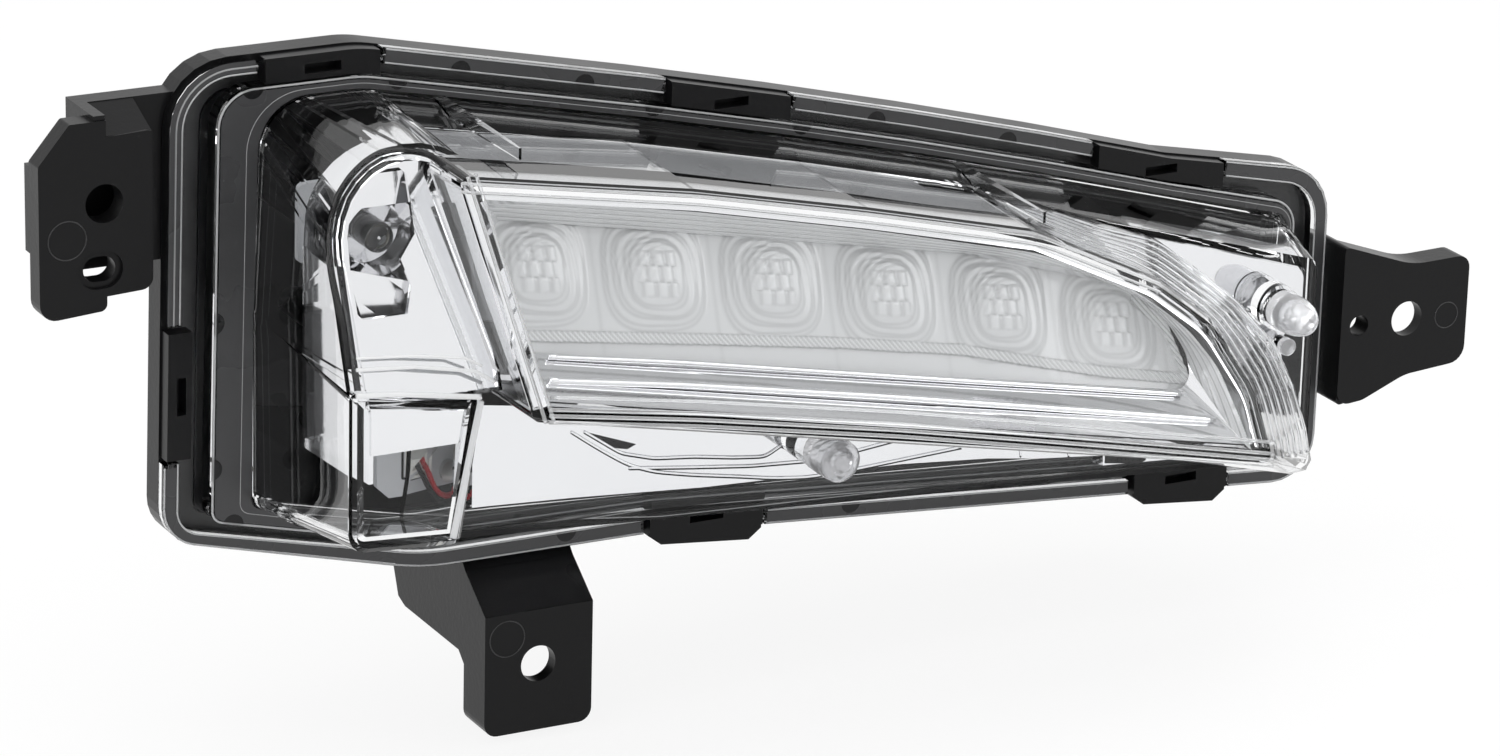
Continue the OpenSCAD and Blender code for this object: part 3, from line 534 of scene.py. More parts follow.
def tube(path: Grid, radius: float, facing: Grid, sides: int = 8, flat: float = 1.0) -> Mesh:
    """Carries a circle along a path: point = path + radius * (cos * side + flat * sin * facing).

    Args:
        path: Centre line in millimetres.
        radius: Radius of the circle.
        facing: The way out of the surface.
        sides: Corners of the circle.
        flat: Share of the radius along the facing way.

    Returns:
        The corners and faces, ends closed.
    """
    along = unit(np.gradient(path, axis=0))
    side = unit(np.cross(along, facing))
    out = unit(np.cross(side, along))
    angle = np.linspace(0, 2 * np.pi, sides, endpoint=False)[None, :, None]
    ring = np.cos(angle) * side[:, None] + flat * np.sin(angle) * out[:, None]
    points = (path[:, None] + radius * ring).reshape(-1, 3)
    last = (len(path) - 1) * sides
    faces = strip_faces(len(path), sides, loop=True)
    faces += [list(range(sides)), [last + k for k in range(sides - 1, -1, -1)]]
    return points, faces


def join(parts: Sequence[Mesh]) -> Mesh:
    """Puts several meshes in one list of corners and faces.

    Args:
        parts: Corners and faces of each mesh.

    Returns:
        Corners and faces of all of them.
    """
    corners, faces, start = [], [], 0
    for points, quads in parts:
        corners.append(points)
        faces += [[k + start for k in face] for face in quads]
        start += len(points)
    return np.concatenate(corners), faces


def plate(flat: Grid, level: float, thick: float = 0.12) -> Mesh:
    """Makes a closed plate from an outline, turned anticlockwise first so that it faces out.

    Args:
        flat: X and Z of the outline's corners.
        level: Y of the plate's front.
        thick: Its thickness.

    Returns:
        Corners and faces.
    """
    ahead = np.roll(flat, -1, axis=0)
    if (flat[:, 0] * ahead[:, 1] - ahead[:, 0] * flat[:, 1]).sum() < 0:
        flat = flat[::-1]
    n = len(flat)
    faces = [list(range(n)), list(range(2 * n - 1, n - 1, -1))]
    faces += [[i, n + i, n + (i + 1) % n, (i + 1) % n] for i in range(n)]
    return np.vstack([np.insert(flat, 1, y, axis=1) for y in (level, level + thick)]), faces


class Skin:
    """The front of a CAD node, on which fine pieces are laid."""

    far: float = 99.0
    sliver: float = 1e-6
    slack: float = 1e-4

    def __init__(self, node: str) -> None:
        """Reads the node's triangles in millimetres.

        Args:
            node: The node's name.
        """
        mesh = bpy.data.objects[node].data
        mesh.calc_loop_triangles()
        spots = np.empty(len(mesh.vertices) * 3)
        mesh.vertices.foreach_get("co", spots)
        corner = np.empty(len(mesh.loop_triangles) * 3, dtype=np.int32)
        mesh.loop_triangles.foreach_get("vertices", corner)
        self.tri = (spots.reshape(-1, 3) / MM)[corner.reshape(-1, 3)]

    def front(self, across: Grid) -> Grid:
        """Finds the foremost point of the skin at each X and Z.

        Args:
            across: X and Z of each point.

        Returns:
            The points on the skin, at the median depth where there is no skin.
        """
        deep = self.nearest(self.tri[..., [0, 2]], self.tri[..., 1], across)
        deep = np.where(np.isfinite(deep), deep, np.median(deep[np.isfinite(deep)]))
        return np.stack([across[:, 0], deep, across[:, 1]], axis=1)

    def drape(self, across: Grid, lift: float, from_above: bool = False,
              steepest: float = 1.2) -> Mesh:
        """Lays a grid on the skin and drops the quads with no skin under them or a jump in them.

        Args:
            across: X and Z of the grid's corners, or X and Y when laid from above.
            lift: Distance moved along Y, or along Z when laid from above.
            from_above: Whether the grid is laid down on the top of the skin.
            steepest: The largest step in depth from corner to corner.

        Returns:
            Corners and faces, without loose corners.
        """
        rows, cols = across.shape[:2]
        flat = across.reshape(-1, 2)
        if from_above:
            deep = -self.nearest(self.tri[..., [0, 1]], -self.tri[..., 2], flat)
        else:
            deep = self.nearest(self.tri[..., [0, 2]], self.tri[..., 1], flat)
        spots = np.insert(flat, 2 if from_above else 1, deep + lift, axis=1)
        level = np.where(np.isfinite(deep), deep, self.far).reshape(rows, cols)
        smooth = np.abs(np.gradient(level, axis=1)) < steepest
        good = np.isfinite(deep) & smooth.reshape(-1)
        quads = np.array(strip_faces(rows, cols))
        quads = quads[good[quads].all(axis=1)]
        used, faces = np.unique(quads, return_inverse=True)
        return spots[used], faces.reshape(quads.shape).tolist()

    def nearest(self, flat: Grid, deep: Grid, across: Grid) -> Grid:
        """Finds the least depth over each spot, by barycentric shares of each triangle.

        Args:
            flat: The triangles' corners seen along the depth.
            deep: Depth of each corner.
            across: The spots.

        Returns:
            The least depth at each spot; infinite where no triangle lies there.
        """
        ab, ac = flat[:, 1] - flat[:, 0], flat[:, 2] - flat[:, 0]
        area = ab[:, 0] * ac[:, 1] - ac[:, 0] * ab[:, 1]
        use = np.abs(area) > self.sliver
        ab, ac, area, deep = ab[use], ac[use], area[use], deep[use]
        x, z = across[:, :1] - flat[use, 0, 0], across[:, 1:] - flat[use, 0, 1]
        s = (x * ac[:, 1] - ac[:, 0] * z) / area
        t = (ab[:, 0] * z - x * ab[:, 1]) / area
        y = deep[:, 0] + s * (deep[:, 1] - deep[:, 0]) + t * (deep[:, 2] - deep[:, 0])
        inside = (s >= -self.slack) & (t >= -self.slack) & (s + t <= 1 + 2 * self.slack)
        return np.where(inside, y, np.inf).min(axis=1)


# The window plane


@dataclass(frozen=True)
class WindowPlane:
    """The raked, swept plane of the window and its own frame: u along, v into the lamp, w up."""

    corner_x: float = 61.0
    corner_y: float = -44.0
    corner_z: float = 7.6
    rake: float = 0.3
    sweep: float = 0.085
    origin_x: float = 70.0
    origin_z: float = -40.0

    def depth_at(self, x: Grid, z: Grid) -> Grid:
        """Y of the plane: corner_y + sweep * (x - corner_x) + rake * (z - corner_z)."""
        return self.corner_y + self.sweep * (x - self.corner_x) + self.rake * (z - self.corner_z)

    def on(self, flat: Grid, sink: float = 0.0, rise: float = 0.0) -> Grid:
        """Lays X and Z points on the plane.

        Args:
            flat: X and Z of each point.
            sink: Distance moved into the lamp afterwards.
            rise: Distance moved up afterwards.

        Returns:
            X, Y and Z of each point.
        """
        x, z = flat.T
        return np.stack([x, self.depth_at(x, z) + sink, z + rise], axis=1)

    @property
    def ways(self) -> tuple[Grid, Grid, Grid]:
        """The plane's own u, v and w ways."""
        a, s = math.atan(self.rake), math.atan(self.sweep)
        return (np.array([math.cos(s), math.sin(s), 0.0]),
                np.array([-math.sin(s) * math.cos(a), math.cos(s) * math.cos(a), -math.sin(a)]),
                np.array([-math.sin(s) * math.sin(a), math.cos(s) * math.sin(a), math.cos(a)]))

    @property
    def outward(self) -> Grid:
        """The way out of the window."""
        return -self.ways[1]

    def place(self, u: Grid, v: Grid, w: Grid) -> Grid:
        """Turns plane coordinates into millimetres in the lamp's frame.

        Args:
            u: Along the window.
            v: Into the lamp.
            w: Up the window.

        Returns:
            X, Y and Z of each point.
        """
        du, dv, dw = self.ways
        x, z = self.origin_x, self.origin_z
        base = np.array([x, self.depth_at(x, z), z])
        return base + u[..., None] * du + v[..., None] * dv + w[..., None] * dw


PLANE = WindowPlane()


@dataclass
class CellPanel:
    """The frosted panel's front: nested rounded squares, centre blocks and a ribbed edge strip,
    with painted shade along the relief.
    """

    depth: float = 13.0
    thick: float = 3.0
    rows: int = 430
    cols: int = 150
    pitch: float = 27.0
    first: float = 8.2
    cells: int = 6
    cell_w: Triple = (32.2, -4.8, -0.33)
    lean: float = 0.17
    squareness: float = 3.2
    rings: tuple[float, ...] = (11.6, 10.7, 9.3, 8.6, 7.0, 6.2)
    ring_step: float = 0.26
    ring_slope: float = 0.3
    ring_tone: tuple[float, float] = (0.25, 0.5)
    wobble: float = 0.25
    lit: Triple = (0.55, 0.45, 2.2)
    arc_at: tuple[float, float] = (3.0, -3.5)
    arc_r: float = 10.5
    arc_spread: float = 4.2
    arc_pitch: float = 1.25
    arc_h: float = 0.09
    arc_tone: float = 0.5
    arc_from: float = 2.35
    dome_r: float = 4.6
    dome_h: float = 0.5
    row_h: float = 3.3
    bar_pitch: float = 3.2
    bar_h: float = 0.3
    bar_edge: float = 3.0
    bar_bias: float = 0.35
    stagger: float = 0.55
    seam_w: float = 0.35
    seam_h: float = 0.12
    block_r: float = 4.7
    block_edge: float = 6.0
    block_wide: float = 0.92
    block_tone: Triple = (0.38, 0.2, 0.25)
    divide: tuple[float, float] = (0.3, 0.5)
    strip_h: float = 2.3
    strip_lift: float = 0.35
    strip_last: float = 160.5
    strip_end: float = 1.5
    strip_line: tuple[float, float] = (0.5, 0.22)
    below: tuple[float, float] = (0.25, 0.6)
    rib_pitch: float = 1.05
    rib_lean: float = 0.8
    rib_h: float = 0.3
    rib_tone: tuple[float, float] = (0.8, 0.1)
    darkest: float = 0.3
    tone_range: tuple[float, float] = (-0.3, 1.5)
    end_u: float = 150.0
    far: float = 50.0
    back_tone: float = 0.9
    strip_path: Path = (
        (4.0, 19.5), (7.9, 18.8), (45.6, 12.2), (76.7, 6.5), (106.0, 0.4), (119.2, -3.6),
        (140.3, -9.7), (159.1, -14.2))
    lower: Path = (
        (4.6, 15.5), (36.0, 9.2), (72.0, 1.2), (106.0, -6.2), (140.0, -13.4), (155.0, -16.6),
        (161.5, -17.8))
    upper: Path = (
        (-1.3, 44.0), (54.0, 32.4), (108.0, 20.8), (132.0, 14.2), (149.0, 7.0), (158.0, -1.5),
        (162.4, -15.0))

    def nested(self, a: Grid, b: Grid, turn: Grid) -> tuple[Grid, Grid]:
        """Nested rounded squares on a low dome.

        Each ring lifts the face by a smooth step where the rounded-square distance,
        (|a|^n + |b|^n)^(1/n), falls below its size.

        Args:
            a: Along the cell.
            b: Up the cell.
            turn: Angle about the cell's middle.

        Returns:
            Height and painted shade: dark lines on the ring edges, darkest towards the upper left
                by the lit term.
        """
        n = self.squareness
        far = (np.abs(a) ** n + np.abs(b) ** n) ** (1 / n)
        base, swing, lit_from = self.lit
        # Painted light: the ring lines shade more towards lit_from, the upper left, than on the
        # other side.
        lit = base + swing * np.cos(turn - lit_from)
        high = self.dome_h * np.exp(-(far / self.dome_r) ** 4)
        line = np.zeros_like(a)
        for order, size in enumerate(self.rings):
            gap = far - size - self.wobble * np.sin(turn * 2 + order)
            high += self.ring_step * (0.5 - 0.5 * np.tanh(gap / self.ring_slope))
            line += np.exp(-((gap / self.ring_slope) ** 2)) * (
                self.ring_tone[0] + self.ring_tone[1] * lit)
        return high, line

    def arcs(self, a: Grid, b: Grid, turn: Grid) -> tuple[Grid, Grid]:
        """Fine arcs round the cell's upper left, which fade out to the right.

        Args:
            a: Along the cell.
            b: Up the cell.
            turn: Angle about the cell's middle.

        Returns:
            Height and painted shade along the arcs.
        """
        arc = np.hypot(a - self.arc_at[0], b - self.arc_at[1])
        fade = np.exp(-((arc - self.arc_r) / self.arc_spread) ** 2)
        fade *= np.clip(np.cos(turn - self.arc_from), 0, 1)
        wave = np.sin(arc * 2 * np.pi / self.arc_pitch)
        return self.arc_h * fade * wave, self.arc_tone * fade * (0.5 + 0.5 * wave)

    def blocks(self, a: Grid, b: Grid) -> tuple[Grid, Grid]:
        """Three rows of soft staggered blocks in the cell's middle.

        Args:
            a: Along the cell.
            b: Up the cell.

        Returns:
            Height and painted shade: gaps and seams darker, bars lighter.
        """
        up = b + 1.5 * self.row_h
        row = np.clip(np.floor(up / self.row_h), 0, 2)
        wave = np.sin(2 * np.pi * (a / self.bar_pitch + self.stagger * row))
        bars = 0.5 + 0.5 * np.tanh(self.bar_edge * (wave + self.bar_bias))
        level = up - row * self.row_h
        seam = np.exp(-(np.minimum(level, self.row_h - level) / self.seam_w) ** 2)
        far = np.maximum(np.abs(a) / self.block_wide, np.abs(b))
        middle = 1 / (1 + np.exp(self.block_edge * (far - self.block_r)))
        gap_tone, seam_tone, bar_tone = self.block_tone
        return (middle * (self.bar_h * bars - self.seam_h * seam),
                middle * (gap_tone * (1 - bars) + seam_tone * seam - bar_tone * bars))

    def relief(self, u: Grid, w: Grid, from_end: Grid) -> tuple[Grid, Grid]:
        """Height and shade of the front: the cells' own forms, then slanted ribs along the strip.

        Args:
            u: Along the panel.
            w: Up the panel.
            from_end: Distance from the round end.

        Returns:
            Height out of the panel and painted shade from 0 to 1.
        """
        number = np.clip(np.round((u - self.first) / self.pitch), 0, self.cells - 1)
        a = u - (self.first + number * self.pitch)
        start, fall, bend = self.cell_w
        b = w - (start + fall * number + bend * number * number) + self.lean * a
        turn = np.arctan2(b, a)
        forms = (self.nested(a, b, turn), self.arcs(a, b, turn), self.blocks(a, b))
        high, line = (sum(part) for part in zip(*forms))
        between = np.abs(np.mod(u - self.first, self.pitch) - self.pitch / 2)
        line += self.divide[0] * np.exp(-((between / self.divide[1]) ** 2))
        foot = np.interp(u, *np.array(self.strip_path).T)
        off_foot = np.where(u < self.strip_last, np.abs(w - foot), self.far)
        off = np.minimum(off_foot, np.abs(from_end - self.strip_end))
        below = (w < foot) & (u < self.strip_last - 0.5)
        high = np.where(below, self.below[0] * high, high)
        line = np.where(below, self.below[1] * line, line)
        half = self.strip_h / 2
        ribs = 0.5 + 0.5 * np.sin(2 * np.pi * (u + self.rib_lean * w) / self.rib_pitch)
        high = np.where(off < half, self.strip_lift + self.rib_h * ribs, high)
        line = np.where(off < half, self.rib_tone[0] * ribs - self.rib_tone[1], line)
        line += self.strip_line[0] * np.exp(-(((off - half) / self.strip_line[1]) ** 2))
        return high, 1 - self.darkest * np.clip(line, *self.tone_range)

    def build(self) -> None:
        """Makes the panel: a grid ruled from the lower to the upper edge, lifted by the relief."""
        low, top = curve(self.lower, self.rows, 6), curve(self.upper, self.rows, 14)
        flat = rule(low, top, np.linspace(0, 1, self.cols))
        u, w = flat[..., 0], flat[..., 1]
        from_end = np.linalg.norm(flat - top[:, None], axis=-1)
        from_end += np.where(top[:, None, 0] > self.end_u, 0, self.far)
        high, shade = self.relief(u, w, from_end)
        front = PLANE.place(u, self.depth - high, w)
        count = self.rows * self.cols
        number = np.arange(count).reshape(self.rows, self.cols)
        rim = np.concatenate([number[:, 0], number[-1, 1:], number[-2::-1, -1], number[0, -2:0:-1]])
        edge = flat.reshape(-1, 2)[rim]
        back = PLANE.place(edge[:, 0], np.full(len(edge), self.depth + self.thick), edge[:, 1])
        behind = count + np.arange(len(rim))
        walls = np.stack([rim, behind, np.roll(behind, -1), np.roll(rim, -1)], axis=1)
        faces = strip_faces(self.rows, self.cols) + walls.tolist() + [behind[::-1].tolist()]
        mesh = np.concatenate([front.reshape(-1, 3), back]), faces
        obj = put_mesh("cell_panel", mesh, "cell_optic")
        keep_shade(obj, np.concatenate([shade.reshape(-1), np.full(len(back), self.back_tone)]))
        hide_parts("optic_panel")


@dataclass(frozen=True)
class WindowEdge:
    """An edge of the window with the fine ribs that run beside it."""

    corners: Path
    insets: tuple[float, ...]
    inward: tuple[float, float]
    count: int
    rib_r: float = 0.4
    cut: int = 0

    def ribs(self) -> list[Mesh]:
        """Makes the ribs, each moved inwards on the window plane by its inset.

        Returns:
            The ribs' meshes.
        """
        way = np.array(self.inward) / np.hypot(*self.inward)
        line = curve(self.corners, self.count, 4)[self.cut:self.count - self.cut]
        return [tube(PLANE.on(line + way * inset), self.rib_r, PLANE.outward)
                for inset in self.insets]


@dataclass
class WindowLines:
    """Fine ribs moulded in the cover: lines round the window and flutes on the right bevel."""

    edges: tuple[WindowEdge, ...] = (
        WindowEdge(((68.0, -37.5), (104.0, -44.0), (150.4, -53.4), (200.0, -64.5), (244.0, -74.5)),
                   insets=(0.7, 1.9, 3.1, 5.4), inward=(0.2, 1.0), count=90, cut=1),
        WindowEdge(((57.0, 10.6), (68.0, -37.5)), insets=(1.4, 3.2), inward=(1.0, 0.2), count=30),
        WindowEdge(((57.0, 10.6), (110.0, 0.8), (150.0, -8.4), (190.0, -18.4), (218.5, -32.0)),
                   insets=(0.8, 2.4), inward=(-0.2, -1.0), count=80, rib_r=0.32))
    right: Path = (
        (190.0, -18.4), (218.5, -32.0), (232.0, -42.5), (241.0, -58.0), (244.0, -74.5))
    wrap: Path = (
        (205.0, -23.0), (236.0, -34.5), (247.3, -43.0), (257.5, -51.4), (267.4, -62.4),
        (272.6, -72.0), (276.7, -83.1), (278.0, -90.0))
    bevel_points: int = 80
    flutes: tuple[float, ...] = (0.14, 0.3, 0.46, 0.62, 0.78, 0.93)
    flute_r: float = 0.48
    flute_ends: tuple[int, int] = (3, -1)
    flute_facing: Triple = (0.35, -0.9, 0.25)
    shade_share: tuple[float, float] = (0.06, 0.99)
    shade_run: int = 22
    shade_lift: float = 0.45

    def build(self) -> None:
        """Makes the lines, the flutes and the black sheet of painted shade behind the lower right
        corner.
        """
        lines = [rib for edge in self.edges for rib in edge.ribs()]
        put_mesh("window_lines", join(lines), "fine_rib")
        inner = curve(self.right, self.bevel_points, 6)
        outer = curve(self.wrap, self.bevel_points, 6)
        skin = Skin("outer_lens")
        flutes = rule(inner, outer, np.array(self.flutes))[slice(*self.flute_ends)]
        ribs = [tube(soften(skin.front(flutes[:, k]), 4), self.flute_r,
                     np.array(self.flute_facing)) for k in range(len(self.flutes))]
        put_mesh("bevel_flutes", join(ribs), "soft_rib")
        # Painted shade: a black sheet laid just in front of the frame's bevel in the lower right
        # corner.
        run = slice(-self.shade_run, None)
        corner = rule(inner[run], outer[run], np.linspace(*self.shade_share, self.shade_run))
        sheet = Skin("bezel").drape(corner, -self.shade_lift)
        put_mesh("corner_shade", sheet, "painted_shade_black")


@dataclass
class EarMarks:
    """Shallow round moulding marks on the ears."""

    spots: tuple[tuple[float, float, float, float], ...] = (
        (-7.9, 0.0, -6.7, 4.0), (88.9, 0.0, -106.9, 4.0), (321.2, 0.0, -67.2, 3.0))
    line_r: float = 0.14

    def build(self) -> None:
        """Makes one fine ring for each mark."""
        angle = np.linspace(0, 2 * np.pi, 41)
        rings = []
        for x, y, z, r in self.spots:
            path = np.stack([x + r * np.cos(angle), 0 * angle + y, z + r * np.sin(angle)], axis=1)
            rings.append(tube(path, self.line_r, FORWARD, sides=6))
        put_mesh("ear_marks", join(rings), "ear_mark")


@dataclass(frozen=True)
class RimOutline:
    """The rim's outline as the CAD source draws it, corners rounded."""

    left: float = 14.5
    right: float = 292.5
    top: float = 24.0
    foot_left: float = -76.0
    foot_right: float = -104.5
    belly_z: float = -91.0
    belly_x: tuple[float, float] = (58.0, 110.0)
    belly_r: float = 55.0
    knee_x: float = 55.0
    knee_r: float = 30.0
    fall: float = 0.19
    bow: float = 0.00026
    last_x: float = 250.5
    top_run: float = 160.5
    right_fall: float = 8.5
    side_r: Triple = (9.0, 10.0, 13.0)
    least_r: float = 2.5
    points: int = 900

    def top_at(self, x: float) -> float:
        """Height of the top edge: top - fall * run - bow * run squared."""
        run = max(0.0, x - self.knee_x)
        return self.top - self.fall * run - self.bow * run * run

    def corners(self, inset: Inset, head: float) -> list[Triple]:
        """Lists the corners, anticlockwise from the front.

        Args:
            inset: Left, right, top and foot insets.
            head: Radius of the upper left corner.

        Returns:
            X, Z and radius of each corner.
        """
        l, r, t, b = inset
        cut = min(inset)
        low_left, low_right, high_right = self.side_r
        tops = [(x, self.top_at(x) - t, 0.0)
                for x in np.linspace(self.last_x, self.last_x - self.top_run, 6)]
        side = self.right - r
        return [(self.left + l, self.foot_left + b / 2, max(low_left - cut, self.least_r)),
                (self.left + self.belly_x[0], self.belly_z + b, self.belly_r),
                (self.left + self.belly_x[1], self.belly_z + b - 0.4, self.belly_r),
                (side, self.foot_right + b, max(low_right - cut, self.least_r)),
                (side, self.top_at(self.last_x) - self.right_fall - t,
                 max(high_right - cut, self.least_r + 0.5)),
                *tops, (self.knee_x + 3, self.top - t, self.knee_r),
                (self.left + 2 + l, self.top - t, head - cut)]

    def ring(self, inset: Inset, head: float = 14.0) -> Grid:
        """Rounds each corner by an arc that touches both edges.

        Args:
            inset: Left, right, top and foot insets.
            head: Radius of the upper left corner.

        Returns:
            X and Z of the closed outline.
        """
        spots = np.array(self.corners(inset, head))
        flat, radius = spots[:, :2], spots[:, 2]
        back, forth = flat - np.roll(flat, 1, axis=0), np.roll(flat, -1, axis=0) - flat
        into, out = unit(back), unit(forth)
        bend = np.arctan2(into[:, 0] * out[:, 1] - into[:, 1] * out[:, 0], (into * out).sum(axis=1))
        slope = np.tan(np.abs(bend) / 2)
        room = np.minimum(np.linalg.norm(back, axis=1), np.linalg.norm(forth, axis=1))
        radius = np.minimum(radius, 0.48 * room / np.maximum(slope, 1e-3))
        normal = np.stack([-into[:, 1], into[:, 0]], axis=1) * np.sign(bend)[:, None]
        hub = flat - into * (radius * slope)[:, None] + normal * radius[:, None]
        turn = bend[:, None] * np.linspace(0, 1, 12)
        cos, sin = np.cos(turn), np.sin(turn)
        arm = np.stack([normal[:, :1] * cos - normal[:, 1:] * sin,
                        normal[:, :1] * sin + normal[:, 1:] * cos], axis=-1)
        path = (hub[:, None] - arm * radius[:, None, None]).reshape(-1, 2)
        return resample(np.vstack([path, path[:1]]), self.points)


RIM = RimOutline()


@dataclass
class RimBeads:
    """Fine beads on the edges moulded round the cover's flange, milky white to paint their
    highlights, and its dark half-round marks.
    """

    flange_y: float = 7.0
    ledge_y: float = 6.0
    proud: float = 0.02
    face_proud: float = 0.05
    mark_proud: float = 0.06
    bead_r: float = 0.22
    lip_r: float = 0.242
    inner_r: float = 0.198
    fillet_r: float = 0.11
    mark_r: float = 2.3
    outer: Inset = (0.3,) * 4
    stepped: Inset = (1.9,) * 4
    inner: Inset = (3.2,) * 4
    strip: Inset = (3.4,) * 4
    strip_face: tuple[Inset, Inset] = ((0.6,) * 4, (2.9,) * 4)
    lip: Inset = (10.5, 9.5, 6.3, 6.3)
    ledge: Inset = (10.2, 9.2, 6.0, 6.0)
    ledge_face: tuple[Inset, Inset] = ((11.0, 10.0, 6.8, 6.8), (19.0, 10.9, 8.7, 9.7))
    fillet: Inset = (16.6, 10.2, 7.6, 8.4)
    root_head: float = 20.0
    corner: tuple[float, float] = (42.0, -45.0)
    top_hooks: Path = ((36.0, 63.0), (127.0, 157.0), (231.0, 265.0))
    foot_hooks: Path = ((124.0, 153.0), (244.0, 270.0))
    left_hook: Triple = (30.5, -59.5, -30.5)
    split: tuple[float, float] = (-50.0, -70.0)
    foot_start: tuple[float, float] = (62.0, -60.0)
    strip_marks: Path = (
        (80.1, 16.3), (108.2, 11.1), (177.3, -6.2), (209.8, -13.9), (105.5, -89.3), (174.1, -93.0))
    ledge_marks: Path = (
        (34.3, 15.1), (65.3, 14.3), (124.2, 3.3), (159.0, -5.0), (27.8, -30.3), (25.0, -61.8),
        (29.8, -74.5))

    def by_hook(self, path: Grid) -> Grid:
        """Tells which points of an outline lie at a hook.

        Args:
            path: X and Z of each point.

        Returns:
            True where the strip is open for a hook.
        """
        x, z = path.T
        side, low, high = self.left_hook
        hit = (x < side) & (z > low) & (z < high)
        for a, b in self.top_hooks:
            hit |= (x > a) & (x < b) & (z > self.split[0])
        for a, b in self.foot_hooks:
            hit |= (x > a) & (x < b) & (z < self.split[1])
        return hit

    def bead(self, path: Grid, y: float, skip: Grid, radius: float) -> list[Mesh]:
        """Lays a bead on each run of four points or more that isn't left out.

        Args:
            path: X and Z of the outline.
            y: Level of the surface.
            skip: True where a point is left out.
            radius: Radius of the bead.

        Returns:
            The beads' meshes.
        """
        line = np.insert(path, 1, y - self.proud, axis=1)
        groups = np.split(np.arange(len(path)), np.where(np.diff(skip.astype(int)) != 0)[0] + 1)
        return [tube(line[g], radius, FORWARD, sides=6)
                for g in groups if not skip[g[0]] and len(g) > 3]

    def marks(self, spots: Path, side: Side) -> list[Mesh]:
        """Makes half-round plates on the nearest point of the strip's or the ledge's edge.

        Args:
            spots: X and Z of each mark.
            side: The edge on which they lie.

        Returns:
            The plates' meshes.
        """
        on_strip = side is Side.STRIP
        level = (self.flange_y if on_strip else self.ledge_y) - self.mark_proud
        ring = RIM.ring(self.strip if on_strip else self.ledge)
        along = unit(np.gradient(ring, axis=0))
        inward = np.stack([-along[:, 1], along[:, 0]], axis=1) * (-1 if on_strip else 1)
        angle = np.linspace(0, np.pi, 15)[:, None]
        plates = []
        for spot in np.array(spots):
            k = int(np.argmin(np.linalg.norm(ring - spot, axis=1)))
            arc = np.cos(angle) * along[k] + np.sin(angle) * inward[k]
            plates.append(plate(ring[k] + self.mark_r * arc, level))
        return plates

    def face(self, insets: tuple[Inset, Inset], head: float, level: float,
             open_at_hooks: bool) -> Mesh:
        """Rules a flat ribbon between two outlines.

        Args:
            insets: Insets of the outer and the inner outline.
            head: Radius of the inner outline's upper left corner.
            level: Y of the surface.
            open_at_hooks: Whether the ribbon stops at the hooks, and else at the foot wall.

        Returns:
            Corners and faces.
        """
        outer, inner = RIM.ring(insets[0]), RIM.ring(insets[1], head)
        apart = np.linalg.norm(outer[:, None] - inner[None], axis=-1)
        flat = np.stack([outer, inner[np.argmin(apart, axis=1)]], axis=1).reshape(-1, 2)
        by_foot = (outer[:, 0] > self.foot_start[0]) & (outer[:, 1] < self.foot_start[1])
        keep = ~self.by_hook(outer) if open_at_hooks else ~by_foot
        quads = np.array(strip_faces(len(outer), 2))[keep[:-1] & keep[1:]]
        return np.insert(flat, 1, level - self.face_proud, axis=1), quads.tolist()

    def build(self) -> None:
        """Makes the beads, the smoky faces between them and the marks."""
        inner, never = RIM.ring(self.inner), np.zeros(RIM.points, dtype=bool)
        parts = self.bead(inner, self.flange_y, self.by_hook(inner), self.inner_r)
        for inset, at_corner in ((self.outer, False), (self.stepped, True)):
            ring = RIM.ring(inset)
            near = (ring[:, 0] < self.corner[0]) & (ring[:, 1] > self.corner[1])
            skip = self.by_hook(ring) | (near != at_corner)
            parts += self.bead(ring, self.flange_y, skip, self.bead_r)
        parts += self.bead(RIM.ring(self.lip), self.ledge_y, never, self.lip_r)
        fillet = RIM.ring(self.fillet, self.root_head)
        parts += self.bead(fillet, self.ledge_y, never, self.fillet_r)
        rows = [self.face(self.strip_face, 14.0, self.flange_y, True),
                self.face(self.ledge_face, self.root_head, self.ledge_y, False)]
        plates = self.marks(self.strip_marks, Side.STRIP) + self.marks(self.ledge_marks, Side.LEDGE)
        # Painted highlights: milky beads along the flange's edges.
        put_mesh("rim_edge_beads", join(parts), "edge_highlight_bead")
        put_mesh("rim_faces", join(rows), "smoky_face")
        put_mesh("rim_marks", join(plates), "dark_line", smooth=False)


